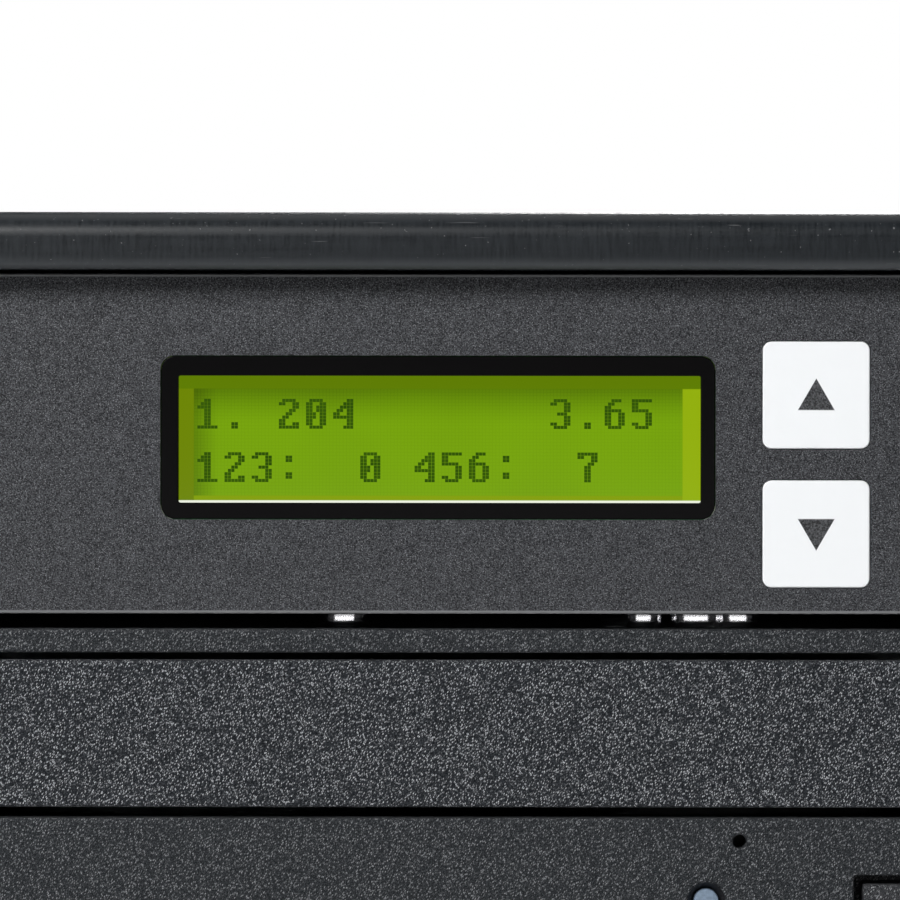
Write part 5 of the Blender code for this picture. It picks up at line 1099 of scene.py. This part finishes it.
def inletPins(sizes):
    halfX, halfZ = sizes["half"]
    near, far = sizes["front"], sizes["back"]
    ends = [((x - halfX, near, z - halfZ), (x + halfX, far, z + halfZ)) for x, z in sizes["places"]]
    return together([block(low, high, sizes["edge"], 2) for low, high in ends])


piece("inlet_pins", inletPins(pinSizes), "tower", screwSteel)

rockerSizes = {
    "height": 0.0656,
    "ringX": 0.0452,
    "ringRadius": 0.0015,
    "barX": 0.0548,
    "barHalf": 0.0018,
    "line": 0.00026,
    "soft": 0.0001,
    "front": 0.1660,
}


def rockerFinish(sizes):
    # Black, with a white bar at one end and a white ring at the other.
    made = Finish("rocker_black", Roughness=0.35)
    x, y, z = made.at.axes()
    line, soft, front, half = sizes["line"], sizes["soft"], sizes["front"], sizes["barHalf"]
    up = z - sizes["height"]
    ring = (((x - sizes["ringX"]) ** 2 + up ** 2) ** 0.5 - sizes["ringRadius"]).size().between(line + soft, line)
    thin = line - 0.00002
    bar = (x - sizes["barX"]).size().between(thin + soft, thin) * up.size().between(half + soft, half)
    marks = ring.most(bar) * y.between(front, front + 0.0002)
    fine = made.at.noise(1500, 2.0)
    made.set(Base_Color=marks.blend((0.014, 0.014, 0.016), (0.75, 0.75, 0.75)))
    made.set(Normal=fine.bump(0.00002, 0.4))
    return made.material


print("stage: trays, feet and switches")

# What is left of the CAD takes its finish here.
nodeFinishes = {
    "chassis_base": caseBlack,
    "drive_cage": zinc,
    "power_switch": greyPlastic,
    "control_faceplate": facePlate,
    "display_board": board,
    "control_housing": zinc,
    "control_board": board,
    "psu_board": board,
    "mains_inlet": blackPlastic,
    "rocker_switch": rockerFinish(rockerSizes),
    "data_cables": cableRed,
    "power_harness": cableBlack,
}
for number in range(1, 5):
    nodeFinishes[f"drive_case_{number}"] = zinc
    nodeFinishes[f"spindle_{number}"] = greyPlastic
    nodeFinishes[f"laser_sled_{number}"] = zinc
for name, made in nodeFinishes.items():
    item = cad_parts[name]
    item.data.materials.clear()
    item.data.materials.append(made)

# Floor, backdrop, lights and camera
scene = bpy.context.scene
floorMesh = bpy.data.meshes.new("floor")
floorShape = bmesh.new()
bmesh.ops.create_grid(floorShape, x_segments=1, y_segments=1, size=6)
floorShape.to_mesh(floorMesh)
floorShape.free()
floor = bpy.data.objects.new("floor", floorMesh)
scene.collection.objects.link(floor)
floorFinish = Finish("floor_pale", Roughness=0.7, Emission_Strength=1.0)
floorTone = floorFinish.at.noise(30, 3.0).between(0.3, 0.7)
floorFinish.set(Base_Color=floorTone.blend((0.48, 0.48, 0.48), (0.52, 0.52, 0.52)))
# Far off, the floor turns white for the camera alone, as the world does.
floorTree = floorFinish.material.node_tree
seen = Wire(floorTree, floorTree.nodes.new("ShaderNodeLightPath").outputs["Is Camera Ray"])
floorX, floorY, floorZ = floorFinish.at.axes()
far = ((floorX ** 2 + floorY ** 2) ** 0.5).between(0.5, 1.7) * seen
floorFinish.set(Emission_Color=far.blend((0.0, 0.0, 0.0), (1.0, 1.0, 1.0)))
floor.data.materials.append(floorFinish.material)


def softbox(name, place, aim, width, height, power, spread=math.pi):
    light = bpy.data.lights.new(name, "AREA")
    light.shape = "RECTANGLE"
    light.size = width
    light.size_y = height
    light.energy = power
    light.spread = spread
    item = bpy.data.objects.new(name, light)
    scene.collection.objects.link(item)
    item.location = place
    item.rotation_mode = "QUATERNION"
    item.rotation_quaternion = (Vector(aim) - Vector(place)).to_track_quat("-Z", "Y")
    return item


softbox("key_light", (-0.56, -1.14, 1.00), (0, -0.16, 0.32), 0.7, 0.40, 17.0)
softbox("top_light", (0, 0.15, 1.5), (0, 0.1, 0.3), 1.4, 1.0, 4.5)
softbox("front_strip", (0, -1.30, 0.262), (0, -0.16, 0.30), 1.8, 0.05, 1.1)
softbox("rear_light", (0.6, 1.5, 1.25), (0, 0.17, 0.15), 1.2, 0.5, 9, 1.2)
softbox("left_light", (-1.7, 0.8, 0.28), (0, 0.1, 0.2), 0.9, 0.5, 4.5, 1.2)
softbox("right_light", (1.7, 0.6, 0.28), (0, 0.1, 0.2), 0.9, 0.5, 4.5, 1.2)

world = bpy.data.worlds.new("studio")
world.use_nodes = True
scene.world = world
tree = world.node_tree
back = tree.nodes["Background"]
ray = Wire(tree, tree.nodes.new("ShaderNodeLightPath").outputs["Is Camera Ray"])
direction = Wire(tree, tree.nodes.new("ShaderNodeTexCoord").outputs["Generated"]).axes()[2]
sky = direction.between(-0.2, 0.9).blend((0.02, 0.02, 0.021), (0.055, 0.056, 0.058))
feed(back.inputs["Color"], ray.blend(sky, (1.0, 1.0, 1.0)))

camera = bpy.data.cameras.new("camera")
camera.lens = 194.4
camera.sensor_width = 36
camera.clip_start = 0.01
camera.clip_end = 50
viewer = bpy.data.objects.new("camera", camera)
scene.collection.objects.link(viewer)
viewer.location = (-0.00102, faceY - 0.6, 0.32278)
viewer.rotation_euler = (math.radians(90), math.radians(-0.06), 0)
scene.camera = viewer
scene.view_settings.view_transform = "Standard"
print("stage: studio")
